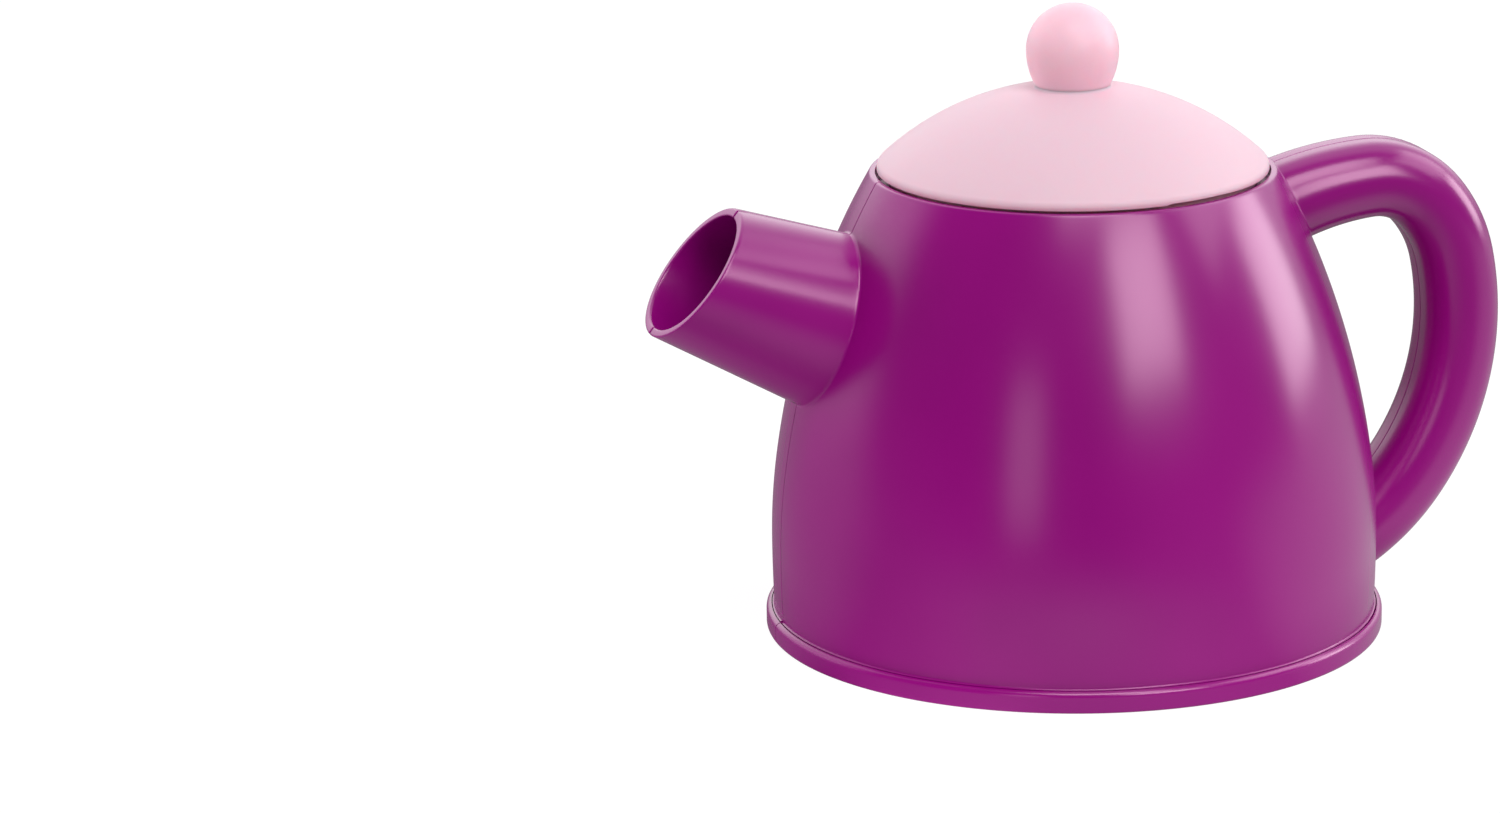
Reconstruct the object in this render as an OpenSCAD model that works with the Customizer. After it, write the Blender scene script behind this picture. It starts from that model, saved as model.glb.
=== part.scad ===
// Toy teapot: two moulded half shells, a screwed base plate, and a lift-off lid with a ball knob.
// Millimetres, +Z up. The origin is the centre of the foot on the table. The spout points to -X, the
// handle to +X, and the halves meet on the plane y = 0, the near half at -Y.

/* [Foot] */
// Diameter of the foot flange
foot_d = 130; // [118:0.5:142]
// Height of the foot flange
foot_h = 4.6; // [3.8:0.1:6]
// Round on the flange's upper edge
foot_top_round = 1.2; // [0.6:0.1:1.5]
// Round on the flange's lower edge
foot_low_round = 0.8; // [0.4:0.1:1.2]
// How far the flange stands out past the belly
ledge_w = 1.4; // [1:0.1:3]
// Width of the flange's standing ring, outside the base plate
foot_ring_w = 2.7; // [2:0.1:4]

/* [Body] */
// Height of the body's widest line
belly_h = 19; // [14:0.5:26]
// Radius of the slight curve below the widest line
skirt_arc_r = 345; // [250:5:450]
// Height of the first band above the widest line
low_band_h = 17.2; // [14:0.2:22]
// Radius of the first band's curve
low_arc_r = 130; // [115:1:160]
// Height of the middle band
mid_band_h = 42.4; // [38:0.2:48]
// Radius of the middle band's curve
mid_arc_r = 177; // [160:1:210]
// Height of the top band, which ends at the rim
top_band_h = 18.9; // [16:0.1:22]
// Radius of the top band's curve
top_arc_r = 149; // [130:1:180]
// Wall of the shells
wall = 2; // [1.6:0.1:2.4]

/* [Rim] */
// Wall of the rim beside the lid
rim_wall = 1.5; // [1.2:0.1:2]
// Depth of the lid's seat below the rim
seat_depth = 2.5; // [2:0.1:3.5]
// Width of the ledge that the lid sits on
seat_w = 3.7; // [3:0.1:5]
// Thickness of that ledge
seat_t = 2; // [1.5:0.1:3]

/* [Spout] */
// Height at which the spout's axis meets the body
spout_z = 69.8; // [64:0.2:72]
// Length of the spout's axis from the body to the mouth
spout_len = 29.1; // [24:0.1:36]
// Rise of the spout's axis
spout_rise = 22.7; // [18:0.1:28]
// Half height of the spout at its mouth
spout_tip_r = 15.1; // [13:0.1:16.5]
// Taper of the spout's walls, seen from the side
spout_taper = 6.6; // [4:0.1:8]
// Slope of the mouth's cut above level
mouth_slope = 51.9; // [46:0.1:64]
// How far each half's round is moved out from the parting plane at the mouth
spout_spread = 2.3; // [1.5:0.1:3]
// Angle by which each half's round comes back towards the parting plane
spout_lean = 8.2; // [5:0.1:9]
// Wall of the spout
spout_wall = 1.8; // [1.4:0.1:2.2]

/* [Handle] */
// Thickness of the handle, seen from the side
handle_t = 16; // [14:0.2:18]
// Width of the handle across the parting plane
handle_w = 21; // [19:0.2:24]
// Height at which the handle's centre line leaves the body
handle_z = 88; // [86:0.1:88.8]
// Direction of the centre line there, above level
handle_dir = 19.3; // [16:0.1:22]
// Radius of the centre line over the crown
crown_r = 65; // [60:1:72]
// Turn over the crown
crown_turn = 15; // [13:0.5:17]
// Radius of the centre line at the shoulder
shoulder_r = 16.5; // [14.5:0.5:18]
// Turn at the shoulder
shoulder_turn = 53.5; // [50:0.5:56]
// Radius of the centre line below the shoulder
neck_bend_r = 27.5; // [25:0.5:30]
// Turn below the shoulder
neck_bend_turn = 29; // [26:0.5:32]
// Radius of the centre line along the grip
grip_r = 60; // [57:0.5:62]
// Turn along the grip
grip_turn = 47.5; // [45:0.5:50]
// Radius of the centre line at the lower end
tail_r = 46; // [42:0.5:50]
// Turn at the lower end, down to the body
tail_turn = 22; // [20:0.5:24]
// How far both ends of the handle run on inside the body
handle_root_l = 10; // [8:0.5:12]

/* [Lid] */
// Radius of the lid's dome
dome_r = 59; // [55:0.5:70]
// Wall of the lid
lid_wall = 2; // [1.6:0.1:2.6]
// Height of the lid's edge above its seat, up to the edge round
lid_edge_h = 3.75; // [3:0.05:5]
// Round on the lid's edge
lid_round = 1; // [0.5:0.1:1.5]
// Gap between the lid and the rim
lid_gap = 0.5; // [0.3:0.05:0.8]
// Depth of the lid's locating ring below its seat
plug_h = 6; // [4:0.5:9]
// Wall of the locating ring
plug_wall = 1.7; // [1.4:0.1:2.4]
// Gap between the locating ring and the seat ledge
plug_gap = 0.3; // [0.2:0.05:0.6]

/* [Knob] */
// Radius of the knob's ball
knob_r = 9.6; // [8.5:0.1:11]
// Height of the ball's centre above the foot of its neck
knob_rise = 8.9; // [8:0.1:11]
// Radius of the curve that draws the ball in to its neck
knob_tuck_r = 16; // [13:0.5:20]
// Height of that curve
knob_tuck_h = 6.8; // [5:0.1:7.5]
// Depth of the knob's seat in the dome
knob_seat = 0.8; // [0.4:0.1:1.2]

/* [Base plate] */
// Thickness of the plate
plate_t = 2; // [1.6:0.1:2.4]
// How far the plate is set up from the table
plate_recess = 0.6; // [0.4:0.1:1]
// Width of the shells' ledge above the plate's edge
plate_bite = 2.3; // [1.5:0.1:3.5]
// Gap between the plate's edge and the flange
plate_gap = 0.3; // [0.1:0.05:0.5]
// Radius of the plate's stiffening ring
ring_rib_r = 30; // [20:1:36]
// Height of that ring
ring_rib_h = 3; // [2:0.5:4]

/* [Fasteners] */
// Shank radius of the base and knob screws
screw_r = 1.45; // [1.2:0.05:1.7]
// Head radius of the base and knob screws
head_r = 3; // [2.6:0.1:3.4]
// Head height of the base and knob screws
head_h = 1.6; // [1.2:0.1:1.7]
// Reach of the base screws above the plate's pads
base_screw_reach = 8; // [6:0.5:9]
// Reach of the knob screw into the knob
knob_screw_reach = 7; // [5:0.5:9]
// Distance of the base screws from the axis
base_screw_ring = 48; // [44:0.5:50]
// Shank radius of the handle screws
small_screw_r = 1.25; // [1:0.05:1.4]
// Head radius of the handle screws
small_head_r = 2.4; // [2.1:0.1:2.6]
// Head height of the handle screws
small_head_h = 1.8; // [1.2:0.1:2]
// Reach of the handle screws past the parting plane
small_screw_reach = 5.5; // [4:0.5:6]
// Running gap between a shank or pin and its hole
fit_gap = 0.05; // [0.02:0.01:0.1]
// Free gap round a screw's shank and head where it only passes through
pass_gap = 0.25; // [0.15:0.05:0.4]

/* [Bosses and pins] */
// Radius of the base screws' bosses
boss_r = 4; // [3.4:0.1:4.6]
// Height of those bosses above the plate's pads
boss_h = 11; // [10:0.5:16]
// Radius of the plate's pads under the bosses
pad_r = 5; // [4.4:0.1:6]
// Height of the pads above the plate
pad_h = 1.2; // [1:0.1:1.6]
// Thickness of ribs
rib_t = 1.6; // [1.2:0.1:2]
// Radius of the bosses in the handle
handle_boss_r = 3.5; // [3.2:0.1:3.8]
// Radius of the locating pins along the parting plane
pin_r = 1.8; // [1.5:0.1:2.1]
// Length of the pins
pin_l = 4; // [3:0.5:5]
// Radius of the pins' bosses
pin_boss_r = 3.4; // [3:0.1:3.8]
// Length of the pins' bosses
pin_boss_l = 9; // [7:0.5:10]
// Height of the lowest pin under the spout
front_low_pin_z = 13; // [10:0.5:16]
// Height of the next pin under the spout
front_high_pin_z = 33; // [28:0.5:38]
// Height of the lower pin inside the handle's gap
back_low_pin_z = 33; // [30:0.5:38]
// Height of the upper pin inside the handle's gap
back_high_pin_z = 52; // [46:0.5:60]
// Depth of the two top pins below the lid's ledge
top_pin_drop = 4; // [3.8:0.1:5]

/* [Hidden] */
$fn = 96;
// Facets of the large turned forms
turn_fn = 240;
purple = [0.50, 0.09, 0.42];
deep_purple = [0.43, 0.07, 0.37];
pale_pink = [0.95, 0.80, 0.87];
knob_pink = [0.94, 0.72, 0.80];
steel = [0.75, 0.75, 0.77];
// Overrun of cuts past the face that they open
cut = 1;
// How far a boss or rib sinks into the wall that carries it
sink = 0.8;

// The body's outline: four arcs that run into each other, from the foot to the rim
belly_r = foot_d / 2 - ledge_w;
z1 = belly_h + low_band_h;
z2 = z1 + mid_band_h;
rim_z = z2 + top_band_h;
turn1 = asin(low_band_h / low_arc_r);
turn2 = asin(sin(turn1) + mid_band_h / mid_arc_r);
c0 = [belly_r - skirt_arc_r, belly_h];
c1 = [belly_r - low_arc_r, belly_h];
c2 = c1 + (low_arc_r - mid_arc_r) * [cos(turn1), sin(turn1)];
c3 = c2 + (mid_arc_r - top_arc_r) * [cos(turn2), sin(turn2)];
function arc_x(c, r, z) = c[0] + sqrt(r * r - (z - c[1]) * (z - c[1]));
// Radius of the body at a height, t inside its outer face
function body_r(z, t = 0) =
    z < belly_h ? arc_x(c0, skirt_arc_r - t, z) :
    z < z1 ? arc_x(c1, low_arc_r - t, z) :
    z < z2 ? arc_x(c2, mid_arc_r - t, z) : arc_x(c3, top_arc_r - t, z);

// Rim, seat and lid
rim_in_r = body_r(rim_z) - rim_wall;
seat_z = rim_z - seat_depth;
seat_in_r = rim_in_r - seat_w;
lid_z = seat_z + lid_gap / 2;
lid_r = rim_in_r - lid_gap;
edge_z = lid_z + lid_edge_h;
dome_z = edge_z - sqrt(pow(dome_r - lid_round, 2) - pow(lid_r - lid_round, 2));
dome_top = dome_z + dome_r;
plug_r = seat_in_r - plug_gap;
knob_neck_r = knob_r - knob_tuck_r + sqrt(pow(knob_tuck_r, 2) - pow(knob_tuck_h, 2));
knob_foot = dome_z + sqrt(pow(dome_r, 2) - pow(knob_neck_r, 2)) - knob_seat;
knob_z = knob_foot + knob_rise;
knob_pad_t = lid_wall + knob_seat;
knob_head_z = knob_foot - knob_pad_t;

// Spout: its axis starts where it meets the body and runs out to the middle of the mouth
spout_tip = [-body_r(spout_z) - spout_len * cos(spout_rise), 0, spout_z + spout_len * sin(spout_rise)];
spout_back = spout_len + 4 * wall + spout_tip_r / 2;
spout_over = 2 * spout_tip_r * abs(tan(90 - spout_rise - mouth_slope)) + spout_wall;

// Handle: five arcs run into each other, all turning down and back to the body. Every other arc is
// a hair fuller and laps over its neighbours.
handle_r = handle_t / 2;
handle_spread = handle_w / 2 - handle_r;
lap_l = 0.3;
lap_step_t = 0.03;
function turn_of(length, r) = length / r * 180 / PI;
in_turn = turn_of(handle_root_l, crown_r);
runs = [[crown_r, crown_turn + in_turn], [shoulder_r, shoulder_turn], [neck_bend_r, neck_bend_turn],
        [grip_r, grip_turn], [tail_r, tail_turn + turn_of(handle_root_l, tail_r)]];
function chord(r, from, to) = r * [sin(from) - sin(to), cos(to) - cos(from)];
run_start = [body_r(handle_z), handle_z] - chord(crown_r, handle_dir + in_turn, handle_dir);
function run_dir(i) = i == 0 ? handle_dir + in_turn : run_dir(i - 1) - runs[i - 1][1];
function run_at(i) = i == 0 ? run_start : run_at(i - 1) + chord(runs[i - 1][0], run_dir(i - 1), run_dir(i));
function run_centre(i) = run_at(i) + runs[i][0] * [sin(run_dir(i)), -cos(run_dir(i))];
// A point on the centre line, a share of the way along a run
function run_point(i, share) =
    run_at(i) + chord(runs[i][0], run_dir(i), run_dir(i) - share * runs[i][1]);
// The handle screws' places, as a run and a share of it
handle_screw_shares = [[0, 0.85], [3, 0.1], [4, 0.12]];
// Depth of the handle screws' head seats below the handle's side
head_seat_depth = small_head_h + wall;
head_seat_y = handle_w / 2 - head_seat_depth;

// Base plate and its screws
plate_r = foot_d / 2 - foot_ring_w - plate_gap;
plate_top = plate_recess + plate_t;
pad_top = plate_top + pad_h;
base_head_z = plate_recess + head_h + pass_gap;
base_screw_angles = [45, 135];

// Locating pins
top_pin_z = seat_z - seat_t - top_pin_drop;
front_pins = [front_low_pin_z, front_high_pin_z, top_pin_z];
back_pins = [back_low_pin_z, back_high_pin_z, top_pin_z];
function pin_x(z) = body_r(z, wall) - pin_boss_r + sink;

// Cross recess of the screw heads
recess_w = head_h / 3;
recess_deep = head_h / 2;

module band(c, r, low, high) {
    intersection() {
        translate(c) circle(r = r, $fn = 4 * turn_fn);
        translate([0, low]) square([foot_d, high - low]);
    }
}

// Half section of the pot as a filled form, t inside its outer face
module pot_section(t, low, high) {
    band(c0, skirt_arc_r - t, low, belly_h);
    band(c1, low_arc_r - t, belly_h, z1);
    if (high > z1) band(c2, mid_arc_r - t, z1, min(high, z2));
    if (high > z2) band(c3, top_arc_r - t, z2, high);
}

module foot_section() {
    r = foot_d / 2;
    translate([0, foot_low_round]) square([r, foot_h - foot_low_round - foot_top_round]);
    square([r - foot_low_round, foot_h / 2]);
    translate([0, foot_h / 2]) square([r - foot_top_round, foot_h / 2]);
    translate([r - foot_low_round, foot_low_round]) circle(r = foot_low_round);
    translate([r - foot_top_round, foot_h - foot_top_round]) circle(r = foot_top_round);
}

// Rim with a rounded crown
module rim_section() {
    round_r = rim_wall / 2;
    pot_section(0, 0, rim_z - round_r);
    translate([body_r(rim_z - round_r) - round_r, rim_z - round_r]) circle(r = round_r);
}

module cavity_section() {
    pot_section(wall, foot_h, seat_z - seat_t);
    translate([0, plate_top - cut]) square([plate_r - plate_bite, foot_h - plate_top + 2 * cut]);
    translate([0, -cut]) square([plate_r + plate_gap, plate_top + cut]);
    translate([0, seat_z - seat_t - cut]) square([seat_in_r, seat_t + seat_depth + 2 * cut]);
    translate([0, seat_z]) square([rim_in_r, seat_depth + cut]);
}

// Turns a section through the half circle on +Y
module half_turn() {
    rotate_extrude(angle = 180, $fn = turn_fn) children();
}

module pot_body() {
    half_turn() {
        rim_section();
        foot_section();
    }
}

module cavity() {
    rotate_extrude($fn = turn_fn) cavity_section();
}

// Stands a drawing of the X-Z plane upright, with its height along +Y
module upright() {
    mirror([0, 1, 0]) rotate([90, 0, 0]) children();
}

module half_space() {
    translate([-foot_d, 0, -foot_d]) cube([2 * foot_d, foot_d, 3 * foot_d]);
}

// Half of the handle's flat-sided oval section
module handle_section(r) {
    intersection() {
        union() {
            translate([-r, 0]) square([2 * r, handle_spread]);
            translate([0, handle_spread]) circle(r = r);
        }
        translate([-handle_w, 0]) square([2 * handle_w, handle_w]);
    }
}

module handle_form(r) {
    upright() for (i = [0 : len(runs) - 1]) {
        full = i % 2 == 0 ? 1 : 0;
        more = full * turn_of(lap_l, runs[i][0]);
        translate(run_centre(i)) rotate([0, 0, run_dir(i) - runs[i][1] - more + 90])
            rotate_extrude(angle = runs[i][1] + 2 * more, $fn = turn_fn)
                translate([runs[i][0], 0]) handle_section(r + full * lap_step_t);
    }
}

// Half of the spout as a leaning cone, inset inside its outer face
module spout_form(inset) {
    intersection() {
        translate(spout_tip) rotate([0, spout_rise - 90, 0])
            translate([0, spout_spread, 0]) rotate([-spout_lean, 0, 0])
                translate([0, 0, -spout_back])
                    cylinder(h = spout_back + spout_over, $fn = turn_fn,
                             r1 = spout_tip_r + spout_back * tan(spout_taper) - inset,
                             r2 = spout_tip_r - spout_over * tan(spout_taper) - inset);
        half_space();
    }
}

module mouth_cut() {
    translate(spout_tip) rotate([0, -mouth_slope, 0])
        translate([-2 * spout_tip_r, -2 * spout_tip_r, 0]) cube(4 * spout_tip_r);
}

// The form that both shells share, drawn on +Y
module half_shell() {
    difference() {
        union() {
            pot_body();
            handle_form(handle_r);
            difference() {
                spout_form(0);
                mouth_cut();
            }
        }
        cavity();
        difference() {
            handle_form(handle_r - wall);
            pot_body();
        }
        spout_form(spout_wall);
    }
    base_bosses();
}

module base_bosses() {
    for (a = base_screw_angles) rotate([0, 0, a]) difference() {
        union() {
            translate([base_screw_ring, 0, pad_top]) cylinder(r = boss_r, h = boss_h);
            intersection() {
                translate([base_screw_ring, -rib_t / 2, foot_h])
                    cube([foot_d, rib_t, boss_h + pad_top - foot_h - cut]);
                rotate_extrude($fn = turn_fn) pot_section(wall - sink, 0, z1);
            }
        }
        translate([base_screw_ring, 0, pad_top - cut])
            cylinder(r = screw_r + fit_gap, h = base_screw_reach + 2 * cut);
    }
}

// Places its children at each locating pin, with their axis along +Y
module at_pins() {
    for (z = front_pins) upright() translate([-pin_x(z), z]) children();
    for (z = back_pins) upright() translate([pin_x(z), z]) children();
}

module at_handle_screws() {
    for (s = handle_screw_shares) upright() translate(run_point(s[0], s[1])) children();
}

module near_shell() {
    color(purple) mirror([0, 1, 0]) {
        half_shell();
        at_pins() cylinder(r = pin_boss_r, h = pin_boss_l);
        at_pins() translate([0, 0, -pin_l]) cylinder(r = pin_r, h = pin_l + sink);
        at_handle_screws() difference() {
            cylinder(r = handle_boss_r, h = handle_w / 2 - wall + sink);
            translate([0, 0, -cut])
                cylinder(r = small_screw_r + fit_gap, h = small_screw_reach + 1.5 * cut);
        }
    }
}

module far_shell() {
    color(deep_purple) {
        difference() {
            half_shell();
            at_handle_screws() translate([0, 0, head_seat_y])
                cylinder(r = small_head_r + pass_gap, h = handle_w);
        }
        at_pins() difference() {
            cylinder(r = pin_boss_r, h = pin_boss_l);
            translate([0, 0, -cut]) cylinder(r = pin_r + fit_gap, h = pin_l + 1.5 * cut);
        }
        at_handle_screws() difference() {
            cylinder(r = handle_boss_r, h = handle_w / 2 - wall + sink);
            translate([0, 0, -cut]) cylinder(r = small_screw_r + pass_gap, h = handle_w);
            translate([0, 0, head_seat_y]) cylinder(r = small_head_r + pass_gap, h = handle_w);
        }
    }
}

module at_base_screws() {
    for (side = [0, 180], a = base_screw_angles) rotate([0, 0, side + a])
        translate([base_screw_ring, 0, 0]) children();
}

module base_plate() {
    color(deep_purple) difference() {
        union() {
            translate([0, 0, plate_recess]) cylinder(r = plate_r, h = plate_t, $fn = turn_fn);
            at_base_screws() translate([0, 0, plate_recess]) cylinder(r = pad_r, h = plate_t + pad_h);
            translate([0, 0, plate_recess]) difference() {
                cylinder(r = ring_rib_r + rib_t / 2, h = plate_t + ring_rib_h);
                translate([0, 0, plate_t / 2]) cylinder(r = ring_rib_r - rib_t / 2, h = foot_h + cut);
            }
        }
        at_base_screws() {
            cylinder(r = screw_r + pass_gap, h = pad_top + cut);
            cylinder(r = head_r + pass_gap, h = base_head_z);
        }
    }
}

// A screw with its head's seat at z = 0 and its shank along +Z
module screw(shank_r, shank_l, top_r, top_h, slot_w, slot_deep) {
    difference() {
        union() {
            cylinder(r = shank_r, h = shank_l);
            translate([0, 0, -top_h]) cylinder(r = top_r, h = top_h);
        }
        for (a = [0, 90]) rotate([0, 0, a])
            translate([-top_r / 2, -slot_w / 2, -top_h - cut]) cube([top_r, slot_w, slot_deep + cut]);
    }
}

module base_screws() {
    color(steel) at_base_screws() translate([0, 0, base_head_z])
        screw(screw_r, pad_top - base_head_z + base_screw_reach, head_r, head_h, recess_w, recess_deep);
}

module handle_screws() {
    color(steel) at_handle_screws() translate([0, 0, head_seat_y]) rotate([180, 0, 0])
        screw(small_screw_r, head_seat_y + small_screw_reach, small_head_r, small_head_h,
              recess_w, recess_deep);
}

module lid_section() {
    far = dome_r * [lid_r - lid_round, edge_z - dome_z] / (dome_r - lid_round);
    // The dome, as far as the line from its centre through the centre of the edge's round
    intersection() {
        translate([0, dome_z]) circle(r = dome_r, $fn = 4 * turn_fn);
        translate([0, dome_z]) polygon([[0, 0], 2 * far, [0, 2 * dome_r]]);
    }
    translate([lid_r - lid_round, edge_z]) circle(r = lid_round);
    translate([0, lid_z]) square([lid_r, edge_z - lid_z]);
    translate([0, lid_z - plug_h]) square([plug_r, plug_h + cut]);
}

module lid() {
    color(pale_pink) difference() {
        union() {
            rotate_extrude($fn = turn_fn) difference() {
                intersection() {
                    lid_section();
                    translate([0, lid_z - plug_h]) square([lid_r, dome_top]);
                }
                intersection() {
                    translate([0, dome_z]) circle(r = dome_r - lid_wall, $fn = 4 * turn_fn);
                    translate([0, lid_z - plug_h - cut]) square([plug_r - plug_wall, dome_r]);
                }
            }
            translate([0, 0, knob_head_z]) cylinder(r = knob_neck_r, h = knob_pad_t);
        }
        translate([0, 0, knob_foot]) cylinder(r = knob_neck_r + fit_gap, h = knob_rise);
        translate([0, 0, knob_head_z - cut]) cylinder(r = screw_r + pass_gap, h = knob_pad_t + 2 * cut);
    }
}

module lid_knob() {
    tuck = [knob_r - knob_tuck_r, knob_z];
    color(knob_pink) difference() {
        rotate_extrude($fn = turn_fn) {
            intersection() {
                translate([0, knob_z]) circle(r = knob_r);
                translate([0, knob_z]) square(knob_r);
            }
            intersection() {
                translate(tuck) circle(r = knob_tuck_r, $fn = turn_fn);
                translate([0, knob_z - knob_tuck_h]) square([knob_r, knob_tuck_h]);
            }
            translate([0, knob_foot]) square([knob_neck_r, knob_rise - knob_tuck_h]);
        }
        translate([0, 0, knob_foot - cut])
            cylinder(r = screw_r + fit_gap, h = knob_screw_reach + 1.5 * cut);
    }
}

module knob_screw() {
    color(steel) translate([0, 0, knob_head_z])
        screw(screw_r, knob_pad_t + knob_screw_reach, head_r, head_h, recess_w, recess_deep);
}

near_shell();
far_shell();
base_plate();
base_screws();
handle_screws();
lid();
lid_knob();
knob_screw();
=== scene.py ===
"""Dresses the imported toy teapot: two moulded purple halves, a pale pink lid, its knob, and a white studio."""

from math import asin, cos, pi, radians, sin, sqrt, tan

import bmesh
import bpy
import numpy as np
from bpy.props import FloatProperty, FloatVectorProperty, PointerProperty
from mathutils import Euler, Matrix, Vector


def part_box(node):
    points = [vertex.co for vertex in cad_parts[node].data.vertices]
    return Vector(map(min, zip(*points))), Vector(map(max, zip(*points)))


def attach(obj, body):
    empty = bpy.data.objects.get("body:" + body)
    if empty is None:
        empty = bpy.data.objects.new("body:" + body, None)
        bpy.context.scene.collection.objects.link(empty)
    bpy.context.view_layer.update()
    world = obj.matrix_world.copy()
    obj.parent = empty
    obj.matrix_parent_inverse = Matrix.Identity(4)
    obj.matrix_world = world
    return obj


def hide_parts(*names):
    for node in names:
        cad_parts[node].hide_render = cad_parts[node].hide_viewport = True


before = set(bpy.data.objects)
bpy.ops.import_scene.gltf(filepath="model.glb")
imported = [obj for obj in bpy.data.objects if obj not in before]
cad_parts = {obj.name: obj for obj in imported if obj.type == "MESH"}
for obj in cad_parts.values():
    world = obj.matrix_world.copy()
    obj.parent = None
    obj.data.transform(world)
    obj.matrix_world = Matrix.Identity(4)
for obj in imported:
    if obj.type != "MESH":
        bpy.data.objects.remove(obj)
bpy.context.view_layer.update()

bl_info = {
    "name": "Toy teapot",
    "version": (1, 0, 0),
    "blender": (4, 5, 0),
    "location": "3D View > Sidebar > Teapot",
    "description": "Builds a moulded toy teapot with a lift-off lid, and a studio round it",
    "category": "Add Mesh",
}

MM = 0.001
# Points closer than this are one point
WELD = 0.0002 * MM
# Step of the numeric slopes, in radians, metres or shares
SLOPE_STEP = 1e-6
BISECTIONS = 40
# Points on which a crease is found before it is matched to the wall, and the steps across its fillet
CREASE_POINTS = 600
FILLET_STEPS = 6
# Edges sharper than this stay crisp
SHARP = radians(30)
# A face whose normal leans further than this to the side is the flat face on the parting plane
PARTING_LEAN = 0.9
# The lid's relief: how far it takes to rise, and the share of its width over which it fades
RELIEF_STEP = 0.6 * MM
RELIEF_FADE = 0.5
# Where a CAD piece gives a size, the size is read from its box
FOOT_R = -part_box("near_shell")[0].y
PLATE_LOW_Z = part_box("base_plate")[0].z
LID_LOW, LID_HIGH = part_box("lid")
KNOB_LOW, KNOB_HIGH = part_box("lid_knob")


def length(name, size_mm, text):
    """A length property, written in millimetres and kept in metres."""
    return FloatProperty(name=name, description=text, default=size_mm * MM, unit="LENGTH", precision=5)


def angle(name, degrees, text):
    """An angle property, written in degrees and kept in radians."""
    return FloatProperty(name=name, description=text, default=radians(degrees), subtype="ANGLE")


def factor(name, share, text):
    """A share from 0 to 1."""
    return FloatProperty(name=name, description=text, default=share, min=0, max=1, subtype="FACTOR")


def colour(name, rgb, text):
    """A colour property."""
    return FloatVectorProperty(
        name=name, description=text, default=(*rgb, 1), size=4, min=0, max=1, subtype="COLOR"
    )


class TeapotBody(bpy.types.PropertyGroup):
    foot_h: length("Foot height", 4.6, "Height of the foot flange")
    foot_top_round: length("Foot top round", 1.2, "Round on the flange's upper edge")
    foot_low_round: length("Foot low round", 0.8, "Round on the flange's lower edge")
    foot_ring_w: length("Standing ring", 2.7, "Width of the ring that the pot stands on")
    ledge_w: length("Ledge", 1.4, "How far the flange stands out past the belly")
    ledge_fillet: length("Ledge fillet", 0.4, "Fillet between the flange and the wall")
    belly_h: length("Belly height", 19, "Height of the widest line")
    skirt_arc_r: length("Skirt arc", 345, "Radius of the curve below the widest line")
    low_band_h: length("Low band", 17.2, "Height of the first band above the widest line")
    low_arc_r: length("Low arc", 130, "Radius of the first band's curve")
    mid_band_h: length("Middle band", 42.4, "Height of the middle band")
    mid_arc_r: length("Middle arc", 177, "Radius of the middle band's curve")
    top_band_h: length("Top band", 18.9, "Height of the top band, up to the rim")
    top_arc_r: length("Top arc", 149, "Radius of the top band's curve")
    wall: length("Wall", 2, "Wall of the shells")
    rim_wall: length("Rim wall", 1.2, "Wall of the rim beside the lid")
    rim_out_round: length("Rim outer round", 0.6, "Round on the rim's outer edge")
    rim_in_round: length("Rim inner round", 0.15, "Round on the rim's inner edge")
    seat_depth: length("Seat depth", 2.5, "Depth of the lid's seat below the rim")
    seat_w: length("Seat width", 3.7, "Width of the ledge that the lid sits on")
    seat_t: length("Seat thickness", 2, "Thickness of that ledge")
    plate_bite: length("Plate ledge", 2.3, "Width of the ledge above the base plate's edge")
    plate_gap: length("Plate gap", 0.3, "Gap round the base plate")
    soft_edge: length("Soft edge", 0.3, "Round on the moulding's small inner edges")
    near_seam_r: length("Near seam round", 0.36, "Round on the near half's edge at the seam")
    far_seam_r: length("Far seam round", 0.14, "Round on the far half's edge at the seam")
    notch_r: length("Mouth notch", 0.35, "How much larger that round grows at the spout's mouth")
    notch_run: length("Notch run", 1.2, "How far the larger round fades along the spout")


class TeapotSpout(bpy.types.PropertyGroup):
    root_h: length("Root height", 69.8, "Height at which the axis meets the body")
    axis_l: length("Axis length", 29.1, "Length of the axis from the body to the mouth")
    rise: angle("Rise", 22.7, "Rise of the axis")
    half_h: length("Half height", 15.05, "Half height of the section at the mouth")
    half_w: length("Half width", 17.4, "Half width of the section at the mouth")
    taper: angle("Taper", 6.6, "Taper of the section's height")
    narrowing: angle("Narrowing", 1.58, "How the section's width closes towards the body")
    mouth_slope: angle("Mouth slope", 51.9, "Slope of the mouth above level")
    wall: length("Wall", 1.8, "Wall of the spout")
    lip_round: length("Lip round", 0.45, "Round on the mouth's edges")
    fillet_r: length("Fillet", 0.6, "Fillet where the spout meets the body")


class TeapotHandle(bpy.types.PropertyGroup):
    thick: length("Thickness", 16, "Thickness seen from the side")
    wide: length("Width", 21, "Width across the seam")
    root_h: length("Root height", 88, "Height at which the centre line leaves the body")
    root_dir: angle("Root direction", 19.3, "Direction of the centre line there")
    swell: length("Root swell", 0.6, "How much thicker the upper root is, each side")
    crown_r: length("Crown radius", 65, "Radius over the crown")
    crown_turn: angle("Crown turn", 15, "Turn over the crown")
    shoulder_r: length("Shoulder radius", 16.5, "Radius at the shoulder")
    shoulder_turn: angle("Shoulder turn", 53.5, "Turn at the shoulder")
    bend_r: length("Bend radius", 27.5, "Radius below the shoulder")
    bend_turn: angle("Bend turn", 29, "Turn below the shoulder")
    grip_r: length("Grip radius", 60, "Radius along the grip")
    grip_turn: angle("Grip turn", 47.5, "Turn along the grip")
    tail_r: length("Tail radius", 46, "Radius at the lower end")
    tail_turn: angle("Tail turn", 22, "Turn at the lower end")
    fillet_r: length("Fillet", 0.6, "Fillet where the handle meets the body")
    recess_r: length("Recess radius", 2.65, "Radius of the screw recesses on the far side")
    recess_y: length("Recess floor", 6.7, "Distance of the recesses' floor from the seam")


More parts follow.
